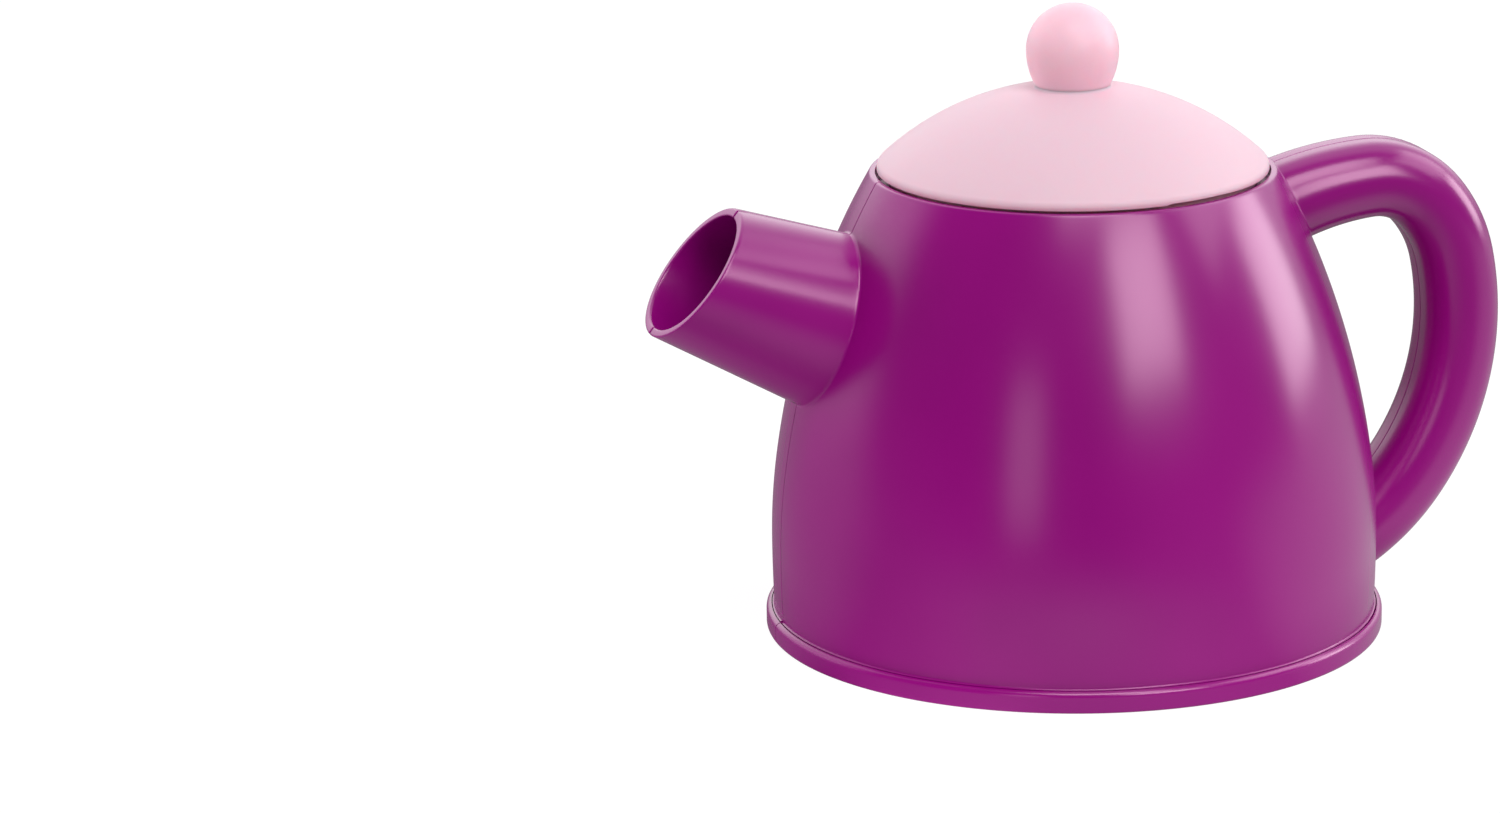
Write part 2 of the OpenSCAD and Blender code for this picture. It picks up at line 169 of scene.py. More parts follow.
class TeapotLid(bpy.types.PropertyGroup):
    dome_r: length("Dome radius", 59, "Radius of the dome")
    dome_h: length("Dome height", 20.15, "Height of the dome's top above the seat")
    wall: length("Wall", 2, "Wall of the lid")
    edge_round: length("Edge round", 1.8, "Round on the edge")
    edge_out: length("Edge overhang", 0.5, "How far the edge stands out past the part that sits in the rim")
    shadow_gap: length("Shadow gap", 0.3, "Height of the edge above the rim")
    edge_under: length("Edge under round", 0.18, "Round on the edge's underside")
    # Height over which the shade painted darker on the lid's lower edge fades; the edge's relief fades over it
    # too
    painted_shade_h: length("Painted edge shade", 1.2, "Height over which the edge's deeper colour fades")
    undercut: length("Undercut", 2.0, "How far the lid goes in under its edge")
    lift_h: length("Lift relief", 0.3, "How much higher the edge is where a fingernail lifts it")
    lift_from: angle("Relief start", 11.4, "Where the relief starts, from the front towards the handle")
    lift_to: angle("Relief end", 47, "Where the relief has faded out")
    plug_h: length("Ring height", 6, "Depth of the locating ring")
    plug_inset: length("Ring inset", 3.5, "How far the ring lies inside the lid's edge")
    plug_wall: length("Ring wall", 1.7, "Wall of the locating ring")
    soft_edge: length("Soft edge", 0.3, "Round on the small edges")
    knob_r: length("Knob radius", 9.6, "Radius of the knob's ball")
    tuck_r: length("Tuck radius", 16, "Radius of the curve that draws the ball in")
    tuck_h: length("Tuck height", 7.9, "Height of that curve")
    neck_fillet: length("Neck fillet", 0.5, "Fillet between the dome and the knob's neck")
    pad_t: length("Pad", 2.8, "Thickness of the lid under the knob")
    hole_r: length("Hole", 1.7, "Radius of the knob screw's hole")


class TeapotFinish(bpy.types.PropertyGroup):
    pot: colour("Pot", (0.28, 0.001, 0.19), "Colour of the pot")
    base: colour("Base", (0.30, 0.006, 0.20), "Colour of the base plate")
    lid: colour("Lid", (0.77, 0.53, 0.62), "Colour of the lid")
    # A deeper pink painted on the lid's lower edge: painted shade and a painted reflection of the purple rim
    lid_edge_shade: colour("Lid edge painted shade", (0.78, 0.38, 0.50), "Colour of the lid's lower edge")
    knob: colour("Knob", (0.96, 0.58, 0.68), "Colour of the knob")
    steel: colour("Steel", (0.62, 0.62, 0.64), "Colour of the screws")
    gloss: factor("Roughness", 0.22, "Roughness of the pot's plastic")
    shadow: factor("Shadow", 0.12, "How much of the object's shadow the floor shows")


class TeapotStage(bpy.types.PropertyGroup):
    floor_w: length("Floor", 6000, "Width of the floor")
    fill: factor("Fill", 0.2, "Strength of the even light from the camera's side")
    mirrored_floor: factor("Mirrored floor", 0.5, "Brightness of the pool of light in glossy surfaces")
    bounce: factor("Bounce", 0.28, "Brightness of the front of the floor as it lights the pot")
    mirrored_back: factor("Mirrored backdrop", 1.0, "Brightness of the backdrop in glossy surfaces")
    eye: FloatVectorProperty(
        name="Camera", description="Place of the camera", size=3, unit="LENGTH",
        default=(-317.93 * MM, -1053.05 * MM, 346.57 * MM),
    )
    aim: FloatVectorProperty(
        name="Camera angles", description="Turn of the camera about X, Y and Z", size=3, subtype="EULER",
        default=(radians(74.7645), radians(0.9639), radians(-13.5310)),
    )
    lens: FloatProperty(name="Lens", description="Focal length in millimetres", default=130.179, min=1)


def sizes(context):
    """The sizes of the body, spout, handle and lid."""
    scene = context.scene
    return scene.teapot_body, scene.teapot_spout, scene.teapot_handle, scene.teapot_lid


def unit(v):
    """Vectors divided by their length."""
    return v / np.linalg.norm(v, axis=-1, keepdims=True)


def arc(centre, start, end, steps):
    """Points from start to end about a centre: both arms blended by sines, so that the angle grows evenly."""
    a, b = start - centre, end - centre
    turn = np.arccos(np.clip((unit(a) * unit(b)).sum(-1), -1, 1))[..., None, None]
    t = np.linspace(0, 1, steps + 1)[:, None]
    arms = np.sin((1 - t) * turn) * a[..., None, :] + np.sin(t * turn) * b[..., None, :]
    return centre[..., None, :] + arms / np.sin(turn)


def rounded(corners, steps=5, support=0.5):
    """An outline through (r, z, round) corners. A round is an arc that touches both sides of its corner,
    with one more point on each side, a share of its radius away, so that the flats stay flat in the light."""
    points = np.array([c[:2] for c in corners])
    out = [points[:1]]
    for before, here, after, radius in zip(points, points[1:], points[2:], [c[2] for c in corners[1:]]):
        a, b = unit(before - here), unit(after - here)
        half = np.arccos(np.clip(a @ b, -1, 1)) / 2
        reach = radius / tan(half)
        centre = here + unit(a + b) * radius / sin(half)
        bend = arc(centre, here + a * reach, here + b * reach, steps)
        pad = radius * support
        out += [[here + a * (reach + pad)], bend, [here + b * (reach + pad)]]
    out.append(points[-1:])
    return np.concatenate(out)


def shares(cells, power=1.0):
    """Cells + 1 even shares from 0 to 1, raised to a power to draw them towards 0."""
    return np.linspace(0, 1, cells + 1) ** power


def eased(cells, pull=0.75):
    """Shares from 0 to 1 that lie closer at both ends: an even share less a part of its sine."""
    t = np.linspace(0, 1, cells + 1)
    return t - pull * np.sin(2 * pi * t) / (2 * pi)


def grid_faces(rows, cols, keep=None):
    """Quads of a grid of points; keep marks the cells that stay."""
    i, j = np.meshgrid(np.arange(rows - 1), np.arange(cols - 1), indexing="ij")
    if keep is not None:
        i, j = i[keep], j[keep]
    a = (i * cols + j).ravel()
    return np.stack([a, a + cols, a + cols + 1, a + 1], axis=1)


def sheet_mesh(name, sheets, keep=None, seam=None):
    """One mesh from sheets, each a grid of points; keep marks the first one's cells that stay. Equal points
    are merged. Where seam() gives a radius, a flat face closes the mesh on the parting plane, and that
    face's edges are rounded."""
    points, faces, first = [], [], 0
    for grid in sheets:
        rows, columns, _ = grid.shape
        points.append(grid.reshape(-1, 3))
        faces.append(grid_faces(rows, columns, None if first else keep) + first)
        first += rows * columns
    mesh = bpy.data.meshes.new(name)
    mesh.from_pydata(np.concatenate(points).tolist(), [], np.concatenate(faces).tolist())
    bm = bmesh.new()
    bm.from_mesh(mesh)
    bmesh.ops.remove_doubles(bm, verts=bm.verts, dist=WELD)
    if seam:
        rim = [e for e in bm.edges if e.is_boundary]
        bmesh.ops.triangle_fill(bm, use_beauty=True, edges=rim, normal=(0, 1, 0))
    bmesh.ops.recalc_face_normals(bm, faces=bm.faces)
    bm.to_mesh(mesh)
    bm.free()
    if seam:
        sink_seam(mesh, seam)
    mesh.polygons.foreach_set("use_smooth", np.ones(len(mesh.polygons), dtype=bool))
    mesh.set_sharp_from_angle(angle=SHARP)
    mesh.update()
    return mesh


def read(items, key, width):
    """One array from a mesh's items."""
    out = np.empty(len(items) * width)
    items.foreach_get(key, out)
    return out.reshape(-1, width)


def sink_seam(mesh, radius_at):
    """Rounds the edges along y = 0: a point at distance y goes in by r - sqrt(r² - (r - y)²), against the
    mean of its faces' normals, the flat parting face left out."""
    co = read(mesh.vertices, "co", 3)
    normals = read(mesh.polygons, "normal", 3)
    weight = read(mesh.polygons, "area", 1) * (abs(normals[:, 1:2]) < PARTING_LEAN)
    corner_v = np.empty(len(mesh.loops), dtype=np.int64)
    mesh.loops.foreach_get("vertex_index", corner_v)
    face_of = np.repeat(np.arange(len(mesh.polygons)), read(mesh.polygons, "loop_total", 1)[:, 0].astype(int))
    mean = np.zeros_like(co)
    np.add.at(mean, corner_v, (normals * weight)[face_of])
    mean[:, 1] = 0
    size = np.linalg.norm(mean, axis=1)
    r = radius_at(co)
    near = (abs(co[:, 1]) < r) & (size > 0)
    r, y = r[near], abs(co[near, 1])
    depth = r - np.sqrt(r**2 - (r - y) ** 2)
    co[near] -= mean[near] / size[near, None] * depth[:, None]
    mesh.vertices.foreach_set("co", co.ravel())
    mesh.update()


class Outline:
    """The pot's outline: four arcs that run into each other, from the foot to the rim."""

    def __init__(self, p):
        turn1 = asin(p.low_band_h / p.low_arc_r)
        turn2 = asin(sin(turn1) + p.mid_band_h / p.mid_arc_r)
        self.belly_r = FOOT_R - p.ledge_w
        c0 = np.array([self.belly_r - p.skirt_arc_r, p.belly_h])
        c1 = np.array([self.belly_r - p.low_arc_r, p.belly_h])
        c2 = c1 + (p.low_arc_r - p.mid_arc_r) * np.array([cos(turn1), sin(turn1)])
        c3 = c2 + (p.mid_arc_r - p.top_arc_r) * np.array([cos(turn2), sin(turn2)])
        self.centres = np.array([c0, c1, c2, c3])
        self.arc_r = np.array([p.skirt_arc_r, p.low_arc_r, p.mid_arc_r, p.top_arc_r])
        self.joins = p.belly_h + np.cumsum([0, p.low_band_h, p.mid_band_h])
        self.rim_z = self.joins[2] + p.top_band_h

    def radius(self, z, inset=0.0):
        """Radius at a height: centre + sqrt(R² - height above the centre²), on the arc of that height."""
        z = np.asarray(z, dtype=float)
        k = np.searchsorted(self.joins, z)
        c = self.centres[k]
        return c[..., 0] + np.sqrt((self.arc_r[k] - inset) ** 2 - (z - c[..., 1]) ** 2)

    def nearest(self, points):
        """How far points lie outside the outline, and the height of its nearest point."""
        r, z = np.hypot(points[:, 0], points[:, 1]), points[:, 2]
        across = r - self.centres[:, 0, None]
        up = z - self.centres[:, 1, None]
        gap = np.hypot(across, up)
        foot = self.centres[:, 1, None] + self.arc_r[:, None] * up / gap
        k = (foot[:3] > self.joins[:, None]).sum(0)
        pick = np.arange(len(k))
        return (gap - self.arc_r[:, None])[k, pick], foot[k, pick]

    def place(self, turn, z, inset=0.0):
        """Points on the near half of the turned wall: turn 0 is at the spout, pi at the handle."""
        r = self.radius(z, inset)
        return np.stack([-r * np.cos(turn), -r * np.sin(turn), np.broadcast_to(z, r.shape)], axis=-1)


def turn_of(points):
    """The turn at which points of the near half stand, from 0 at the spout to pi at the handle. A point on
    the parting plane may lie a rounding error beyond it, so the sign is dropped."""
    return abs(np.arctan2(-points[:, 1], -points[:, 0]))


def normal_of(surface, u, v):
    """Unit normals of surface(u, v): the cross product of its two numeric slopes."""
    du = surface(u + SLOPE_STEP, v) - surface(u - SLOPE_STEP, v)
    dv = surface(u, v + SLOPE_STEP) - surface(u, v - SLOPE_STEP)
    return unit(np.cross(du, dv))


def halved(u, reach, clear_at):
    """For each u, where a test turns from true at reach's first end to false at its second: the way between
    them is halved again and again."""
    out, into = (np.full_like(u, end) for end in reach)
    for _ in range(BISECTIONS):
        middle = (out + into) / 2
        clear = clear_at(middle)
        out, into = np.where(clear, middle, out), np.where(clear, into, middle)
    return middle


def rolling_ball(outline, surface, u, reach, ball_r, side):
    """Where a ball that rolls in the crease between surface(u, v) and the pot touches both: v lies in reach,
    where the ball's distance from the pot is its radius. Also gives the ball's centre, and the turn and
    height of the pot's touched point."""
    def centre_at(v):
        """The ball's centre: the surface's point, and from there a radius along the normal."""
        return surface(u, v) + side * ball_r * normal_of(surface, u, v)

    def clear_at(v):
        """Whether the ball is further from the pot than its radius."""
        return outline.nearest(centre_at(v))[0] > ball_r

    v = halved(u, reach, clear_at)
    centre = centre_at(v)
    return v, centre, np.stack([turn_of(centre), outline.nearest(centre)[1]], axis=1)


def frame_path(turns, heights):
    """Three sides of a block of the wall, from the seam out along the first height, along the block's side,
    and back to the seam along the last height."""
    out = np.stack([turns, np.full_like(turns, heights[0])], axis=1)
    side = np.stack([np.full_like(heights, turns[-1]), heights], axis=1)
    back = np.stack([turns[::-1], np.full_like(turns, heights[-1])], axis=1)
    return np.concatenate([out, side[1:-1], back])


def matched(outline, frame_tz, touch_tz, u, seam_turn, inset=0.0):
    """The u of the crease's point that lies in the same direction from the crease's middle as each point of
    the frame."""
    mid_z = (touch_tz[0, 1] + touch_tz[-1, 1]) / 2
    wall_r = outline.radius(mid_z, inset)

    def direction(tz):
        """The angle at which a place on the wall is seen from the crease's middle on the seam."""
        return np.arctan2(tz[:, 1] - mid_z, abs(tz[:, 0] - seam_turn) * wall_r)

    have, want = direction(touch_tz), direction(frame_tz)
    order = np.argsort(have)
    found = np.interp(want, have[order], u[order])
    found[0], found[-1] = u[0], u[-1]
    return found


def collar(outline, touch_tz, frame_tz, inset=0.0, rings=12, pull=1.3):
    """The wall between a crease and its frame: turn and height blended straight from one to the other, with
    the rings drawn towards the crease."""
    f = shares(rings, pull)[:, None, None]
    tz = touch_tz * (1 - f) + frame_tz * f
    return outline.place(tz[..., 0], tz[..., 1], inset)


def rooted(outline, surface, frame_tz, dense, reach, ball_r, seam_turn):
    """Joins surface(u, v) to the pot with a rolling ball's fillet. Gives the u and v of the fillet's edge,
    and the collar and fillet as sheets. side turns the surface's normals outwards, to -Y at its middle."""
    middle = dense[len(dense) // 2:][:1]
    side = 1.0 if normal_of(surface, middle, np.full_like(middle, reach[0]))[0, 1] < 0 else -1.0
    _, _, touch = rolling_ball(outline, surface, dense, reach, ball_r, side)
    u = matched(outline, frame_tz, touch, dense, seam_turn)
    v, centre, touch = rolling_ball(outline, surface, u, reach, ball_r, side)
    fillet = arc(centre, surface(u, v), outline.place(touch[:, 0], touch[:, 1]), FILLET_STEPS)
    return u, v, [collar(outline, touch, frame_tz), fillet]


def stepped(stops, cells):
    """For each two stops, even steps from the first one, with the second left out."""
    return [np.linspace(a, b, n, endpoint=False) for a, b, n in zip(stops, stops[1:], cells)]


class Wall:
    """The rows and columns of the pot's wall, with the blocks left open for the spout and the handle."""

    # Heights in millimetres that bound the blocks, the first above the foot, and the cells between them
    FOOT_CLEAR = 0.7
    MARKS = (31, 46, 76, 92, 96.7)
    CELLS = (16, 8, 15, 8, 2)
    # Distances in millimetres of the columns beside the seam, close together where it is rounded
    SEAM_COLUMNS = (0, 0.03, 0.08, 0.14, 0.2, 0.3, 0.5, 0.9)
    # Half widths of the spout's block and the handle's two, and the columns between these bounds in turn
    SPOUT_TURN = radians(25)
    HIGH_TURN = radians(20)
    LOW_TURN = radians(16)
    COLUMNS = (18, 90, 3, 12)

    def __init__(self, outline, p):
        marks = np.array([p.foot_h / MM + self.FOOT_CLEAR, *self.MARKS]) * MM
        self.z = np.concatenate([*stepped(marks, self.CELLS), marks[-1:]])
        at = np.cumsum([0, *self.CELLS])
        seam = np.array(self.SEAM_COLUMNS) * MM / outline.belly_r
        stops = (seam[-1], self.SPOUT_TURN, pi - self.HIGH_TURN, pi - self.LOW_TURN, pi - seam[-1])
        parts = [seam[:-1], *stepped(stops, self.COLUMNS), pi - seam[::-1]]
        self.turn = np.concatenate(parts)
        mark = np.cumsum([0] + [len(part) for part in parts])
        # Each block as its columns and its rows
        self.spout = (slice(0, mark[2]), slice(at[2], at[4]))
        self.high_root = (slice(mark[3], len(self.turn) - 1), slice(at[3], at[5]))
        self.low_root = (slice(mark[4], len(self.turn) - 1), slice(at[0], at[1]))

    def frame(self, block, down=True):
        """The block's three open sides, from the seam and back to it."""
        turns = self.turn[block[0].start:block[0].stop + 1]
        heights = self.z[block[1].start:block[1].stop + 1]
        turns = turns if block[0].start == 0 else turns[::-1]
        return frame_path(turns, heights[::-1] if down else heights)


def body_sheet(outline, wall, p):
    """The turned wall, rim, lid seat and foot as one closed outline carried round the half circle, and the
    cells that stay round the spout and the handle's roots."""
    low, high, rim_z = wall.z[0], wall.z[-1], outline.rim_z
    rim_in = outline.radius(rim_z) - p.rim_wall
    seat_z = rim_z - p.seat_depth
    seat_in = rim_in - p.seat_w
    ledge_z = seat_z - p.seat_t
    inner_top = wall.z[wall.spout[1].stop]
    soft = p.soft_edge
    rim = rounded([
        (outline.radius(high), high, 0),
        (outline.radius(rim_z), rim_z, p.rim_out_round),
        (rim_in, rim_z, p.rim_in_round),
        (rim_in, seat_z, soft),
        (seat_in, seat_z, soft),
        (seat_in, ledge_z, soft),
        (outline.radius(ledge_z, p.wall), ledge_z, soft),
        (outline.radius(inner_top, p.wall), inner_top, 0),
    ])
    plate_z = PLATE_LOW_Z + p.wall
    recess_r = FOOT_R - p.foot_ring_w
    hole_r = recess_r - p.plate_gap - p.plate_bite
    foot = rounded([
        (outline.radius(low, p.wall), low, 0),
        (outline.radius(p.foot_h, p.wall), p.foot_h, soft),
        (hole_r, p.foot_h, soft),
        (hole_r, plate_z, soft / 2),
        (recess_r, plate_z, soft / 2),
        (recess_r, 0, soft),
        (FOOT_R, 0, p.foot_low_round),
        (FOOT_R, p.foot_h, p.foot_top_round),
        (outline.radius(p.foot_h), p.foot_h, p.ledge_fillet),
        (outline.radius(low), low, 0),
    ])
    outer = np.stack([outline.radius(wall.z), wall.z], axis=1)
    inner_z = wall.z[:wall.spout[1].stop + 1][::-1]
    inner = np.stack([outline.radius(inner_z, p.wall), inner_z], axis=1)
    loop = np.concatenate([outer, rim[1:-1], inner, foot[1:]])
    grid = carried(loop * np.array([-1, 1]), wall.turn)
    keep = np.ones((len(wall.turn) - 1, len(loop) - 1), dtype=bool)
    for block in (wall.spout, wall.high_root, wall.low_root):
        keep[block] = False
    # The spout's way in: the same rows, met on the way down the inner wall
    first = len(outer) + len(rim) - 2
    rows = wall.spout[1]
    keep[wall.spout[0], first:first + rows.stop - rows.start] = False
    return grid, keep


class Spout:
    """A slightly tapered oval tube along a rising axis. turn is 0 at its top and pi at its bottom, and run is
    the distance from the mouth's middle along the axis, towards the body."""

    def __init__(self, s, outline):
        out = outline.radius(s.root_h) + s.axis_l * cos(s.rise)
        self.tip = np.array([-out, 0, s.root_h + s.axis_l * sin(s.rise)])
        self.axis = np.array([cos(s.rise), 0, -sin(s.rise)])
        self.up = np.array([sin(s.rise), 0, cos(s.rise)])
        self.mouth_out = np.array([-sin(s.mouth_slope), 0, cos(s.mouth_slope)])
        self.s = s

    def surface(self, turn, run, inset=0.0):
        """tip + run * axis + half height * cos(turn) * up + half width * sin(turn) sideways."""
        turn, run = turn[..., None], run[..., None]
        high = (self.s.half_h + run * tan(self.s.taper) - inset) * np.cos(turn)
        wide = (self.s.half_w - run * tan(self.s.narrowing) - inset) * np.sin(turn)
        return self.tip + run * self.axis + high * self.up + wide * np.array([0, -1, 0])

    def mouth_run(self, turn, inset=0.0):
        """Where the line along the tube at this turn meets the sloping plane of the mouth."""
        along, up = self.axis @ self.mouth_out, self.up @ self.mouth_out
        climb = np.cos(turn) * up
        return -(self.s.half_h - inset) * climb / (along + tan(self.s.taper) * climb)


def spout_sheets(outline, wall, p, s):
    """Collar, fillet, outer skin, rounded lip, inner skin and inner collar of the spout."""
    tube = Spout(s, outline)
    outer = tube.surface
    dense = np.linspace(0, pi, CREASE_POINTS)
    frame_tz = wall.frame(wall.spout)
    reach = (0.0, s.axis_l * 2)
    turn, root, sheets = rooted(outline, outer, frame_tz, dense, reach, s.fillet_r, seam_turn=0.0)

    def inner(u, v):
        """The inner skin: the same tube, drawn in by its wall."""
        return tube.surface(u, v, s.wall)

    def inner_root(u):
        """Where the inner skin meets the pot's inner wall: the run, and the turn and height there."""
        def clear_at(v):
            """Whether the skin is still outside the pot's inner wall."""
            q = inner(u, v)
            return np.hypot(q[:, 0], q[:, 1]) > outline.radius(q[:, 2], p.wall)

        v = halved(u, reach, clear_at)
        q = inner(u, v)
        return v, np.stack([turn_of(q), q[:, 2]], axis=1)

    _, way_in = inner_root(dense)
    turn_in = matched(outline, frame_tz, way_in, dense, 0.0, p.wall)
    root_in, way_in = inner_root(turn_in)

    mouth, mouth_in = tube.mouth_run(turn), tube.mouth_run(turn, s.wall)
    corner, corner_in = outer(turn, mouth), inner(turn, mouth_in)
    across = unit(corner_in - corner) * s.lip_round
    t = shares(cells=6)[:, None, None]

    def lip(start, bend, end):
        """A quadratic curve, from along the skin, round the corner, to along the mouth's plane."""
        return (1 - t) ** 2 * start + 2 * t * (1 - t) * bend + t**2 * end

    lip_out = lip(outer(turn, mouth + s.lip_round), corner, corner + across)
    lip_in = lip(corner_in - across, corner_in, inner(turn, mouth_in + s.lip_round))
    f = eased(cells=24)[:, None]
    skin = outer(turn[None] + 0 * f, root * (1 - f) + (mouth + s.lip_round) * f)
    skin_in = inner(turn * (1 - f) + turn_in * f, (mouth_in + s.lip_round) * (1 - f) + root_in * f)
    lips = np.concatenate([lip_out, lip_in])
    return [*sheets, skin, lips, skin_in, collar(outline, way_in, frame_tz, p.wall)]


class Handle:
    """A flat-sided oval carried along five arcs in the parting plane. edge goes from 0 at the outer line to 1
    at the inner line, round the near side, and run is the distance along the centre line from the wall."""

    def __init__(self, h, outline):
        self.h = h
        self.arc_r = np.array([h.crown_r, h.shoulder_r, h.bend_r, h.grip_r, h.tail_r])
        turns = np.array([h.crown_turn, h.shoulder_turn, h.bend_turn, h.grip_turn, h.tail_turn])
        self.starts = np.concatenate([[0], np.cumsum(turns * self.arc_r)])
        self.dirs = h.root_dir - np.concatenate([[0], np.cumsum(turns)])
        self.end = self.starts[-1]
        steps = self.chord(self.arc_r, self.dirs[:-1], self.dirs[1:])
        self.ats = np.array([outline.radius(h.root_h), h.root_h]) + np.concatenate(
            [np.zeros((1, 2)), np.cumsum(steps, axis=0)])
        self.half_t = h.thick / 2
        self.spread = h.wide / 2 - self.half_t

    @staticmethod
    def chord(r, start, end):
        """The step along an arc that turns down from one direction to another."""
        return np.stack([r * (np.sin(start) - np.sin(end)), r * (np.cos(end) - np.cos(start))], axis=-1)

    def centre(self, run):
        """Points of the centre line and its direction, arc by arc."""
        k = np.clip(np.searchsorted(self.starts, run) - 1, 0, len(self.arc_r) - 1)
        turned = self.dirs[k] - (run - self.starts[k]) / self.arc_r[k]
        return self.ats[k] + self.chord(self.arc_r[k], self.dirs[k], turned), turned

    def surface(self, edge, run):
        """centre(run) + out * outward + side * sideways, where (out, side) goes round half of an oval: a
        flat, a half circle and a flat. The half thickness swells by a square law over the first quarter."""
        at, turned = self.centre(run)
        half_t = self.half_t + self.h.swell * np.clip(1 - 4 * run / self.end, 0, 1) ** 2
        way = edge * (2 * self.spread + pi * self.half_t)
        bend = np.clip((way - self.spread) / self.half_t, 0, pi)
        out = half_t * np.cos(bend)
        flat = np.minimum(np.minimum(way, 2 * self.spread + pi * self.half_t - way), self.spread)
        side = self.half_t * np.sin(bend) + flat
        x = at[..., 0] - out * np.sin(turned)
        z = at[..., 1] + out * np.cos(turned)
        return np.stack([x, -side, z], axis=-1)


def handle_sheets(outline, wall, h):
    """Both roots' collars and fillets, and the skin between them."""
    bar = Handle(h, outline)
    dense = np.linspace(0, 1, CREASE_POINTS)
    roots = (
        (wall.frame(wall.high_root), (h.thick, -h.thick / 2)),
        (wall.frame(wall.low_root, down=False), (bar.end - 1.5 * h.thick, bar.end + h.thick / 2)),
    )
    sheets, edges, runs = [], [], []
    for frame_tz, reach in roots:
        edge, run, joined = rooted(outline, bar.surface, frame_tz, dense, reach, h.fillet_r, seam_turn=pi)
        sheets += joined
        edges.append(edge)
        runs.append(run)
    f = eased(cells=110, pull=0.5)[:, None]
    skin = bar.surface(edges[0] * (1 - f) + edges[1] * f, runs[0] * (1 - f) + runs[1] * f)
    return [*sheets, skin]


def new_object(name, data):
    """An object in the scene."""
    obj = bpy.data.objects.new(name, data)
    bpy.context.scene.collection.objects.link(obj)
    return obj


def screw_recesses(h):
    """One cylinder for each handle screw, from the recess's floor out past the handle's side. The screws
    stand where their CAD piece has its solids, which lie apart in height."""
    co = read(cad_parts["handle_screws"].data.vertices, "co", 3)
    co = co[np.argsort(co[:, 2])]
    solids = np.split(co, np.flatnonzero(np.diff(co[:, 2]) > h.recess_r) + 1)
    loop = np.array([(0, h.recess_y), (h.recess_r, h.recess_y), (h.recess_r, h.wide), (0, h.wide)])
    grid = turned_sheet(loop, columns=48)[..., [0, 2, 1]]
    places = [(solid.min(0) + solid.max(0)) / 2 * np.array([1, 0, 1]) for solid in solids]
    return sheet_mesh("recesses", [grid + place for place in places])


def drill(mesh, cutter):
    """Cuts the closed cutter out of a closed mesh."""
    whole, tool = (new_object(part.name, part) for part in (mesh, cutter))
    cut = whole.modifiers.new("cut", "BOOLEAN")
    cut.object = tool
    cut.solver = "EXACT"
    bm = bmesh.new()
    bm.from_object(whole, bpy.context.evaluated_depsgraph_get())
    bm.to_mesh(mesh)
    bm.free()
    mesh.set_sharp_from_angle(angle=SHARP)
    bpy.data.objects.remove(whole)
    bpy.data.objects.remove(tool)
    bpy.data.meshes.remove(cutter)


def add_piece(name, mesh, material, body, node):
    """Puts a finished mesh in the scene as the piece that stands for a CAD node."""
    mesh.materials.append(material)
    piece = new_object(name, mesh)
    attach(piece, body)
    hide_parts(node)


def mirrored(sheets):
    """The same sheets on the other side of the seam, with y turned round."""
    return [grid * np.array([1, -1, 1]) for grid in sheets]


def carried(loop, turn):
    """An outline of (r, z) points carried round the axis: r cos(turn), r sin(turn), z."""
    turn = turn[:, None]
    r, z = loop[:, 0], loop[:, 1]
    return np.stack([r * np.cos(turn), r * np.sin(turn), np.broadcast_to(z, (len(turn), len(z)))], axis=-1)


def turned_sheet(loop, columns):
    """A closed outline of (r, z) points carried round the whole circle."""
    return carried(loop, np.linspace(0, 2 * pi, columns + 1))


def sphere_line(radius, centre_z, from_r, to_r, cells):
    """Part of a circle about a point on the axis, between two distances from the axis, in even turns."""
    t = np.linspace(asin(from_r / radius), asin(to_r / radius), cells + 1)
    return np.stack([radius * np.sin(t), centre_z + radius * np.cos(t)], axis=1)


def dome_centre(c):
    """Height of the dome's centre."""
    return LID_LOW.z + c.plug_h + c.dome_h - c.dome_r


def dome_height(c, r):
    """Height of the dome's outside at a distance from the axis."""
    return dome_centre(c) + sqrt(c.dome_r**2 - r**2)


def lid_loop(c, edge_low):
    """The lid's outline: dome, edge, locating ring, the dome from inside, the pad and the knob's seat."""
    low = LID_LOW.z + c.plug_h
    seat_r = LID_HIGH.x
    edge_r = seat_r + c.edge_out
    # The edge's round touches the dome from inside
    inner = c.dome_r - c.edge_round
    dome_z = dome_centre(c)
    edge_z = dome_z + sqrt(inner**2 - (edge_r - c.edge_round) ** 2)
    touch_r = (edge_r - c.edge_round) * c.dome_r / inner
    neck_r = knob_neck_r(c)
    neck_z = dome_height(c, neck_r)
    # The fillet reaches up the neck, which leans out by the tuck's slope
    lean = asin(c.tuck_h / c.tuck_r)
    rise = 2 * c.neck_fillet
    crease = rounded([
        (neck_r + rise * sin(lean), neck_z + rise * cos(lean), 0),
        (neck_r, neck_z, c.neck_fillet),
        (neck_r + rise, dome_height(c, neck_r + rise), 0),
    ])[2:]
    dome = sphere_line(c.dome_r, dome_z, neck_r + rise, touch_r, cells=44)
    edge = arc(np.array([edge_r - c.edge_round, edge_z]), dome[-1], np.array([edge_r, edge_z]), steps=8)
    plug_out = seat_r - c.plug_inset
    plug_in = plug_out - c.plug_wall
    under = sphere_line(c.dome_r - c.wall, dome_z, neck_r, plug_in - c.soft_edge, cells=30)[::-1]
    skirt = rounded([
        (edge_r, edge_z, 0),
        (edge_r, edge_low, c.edge_under),
        (seat_r - c.undercut, edge_low, c.soft_edge / 2),
        (seat_r - c.undercut, low, c.soft_edge),
        (plug_out, low, c.soft_edge),
        (plug_out, LID_LOW.z, c.soft_edge),
        (plug_in, LID_LOW.z, c.soft_edge),
        (plug_in, under[0, 1] - c.soft_edge, 0),
    ])
    pad_low = KNOB_LOW.z - c.pad_t
    pad = rounded([
        (neck_r, under[-1, 1], 0),
        (neck_r, pad_low, c.soft_edge),
        (c.hole_r, pad_low, c.soft_edge / 2),
        (c.hole_r, KNOB_LOW.z, c.soft_edge / 4),
        (neck_r, KNOB_LOW.z, c.soft_edge / 4),
        (neck_r, neck_z, 0),
    ])
    return np.concatenate([crease[:-1], dome, edge[1:], skirt[1:], under, pad[1:], crease[:1]])


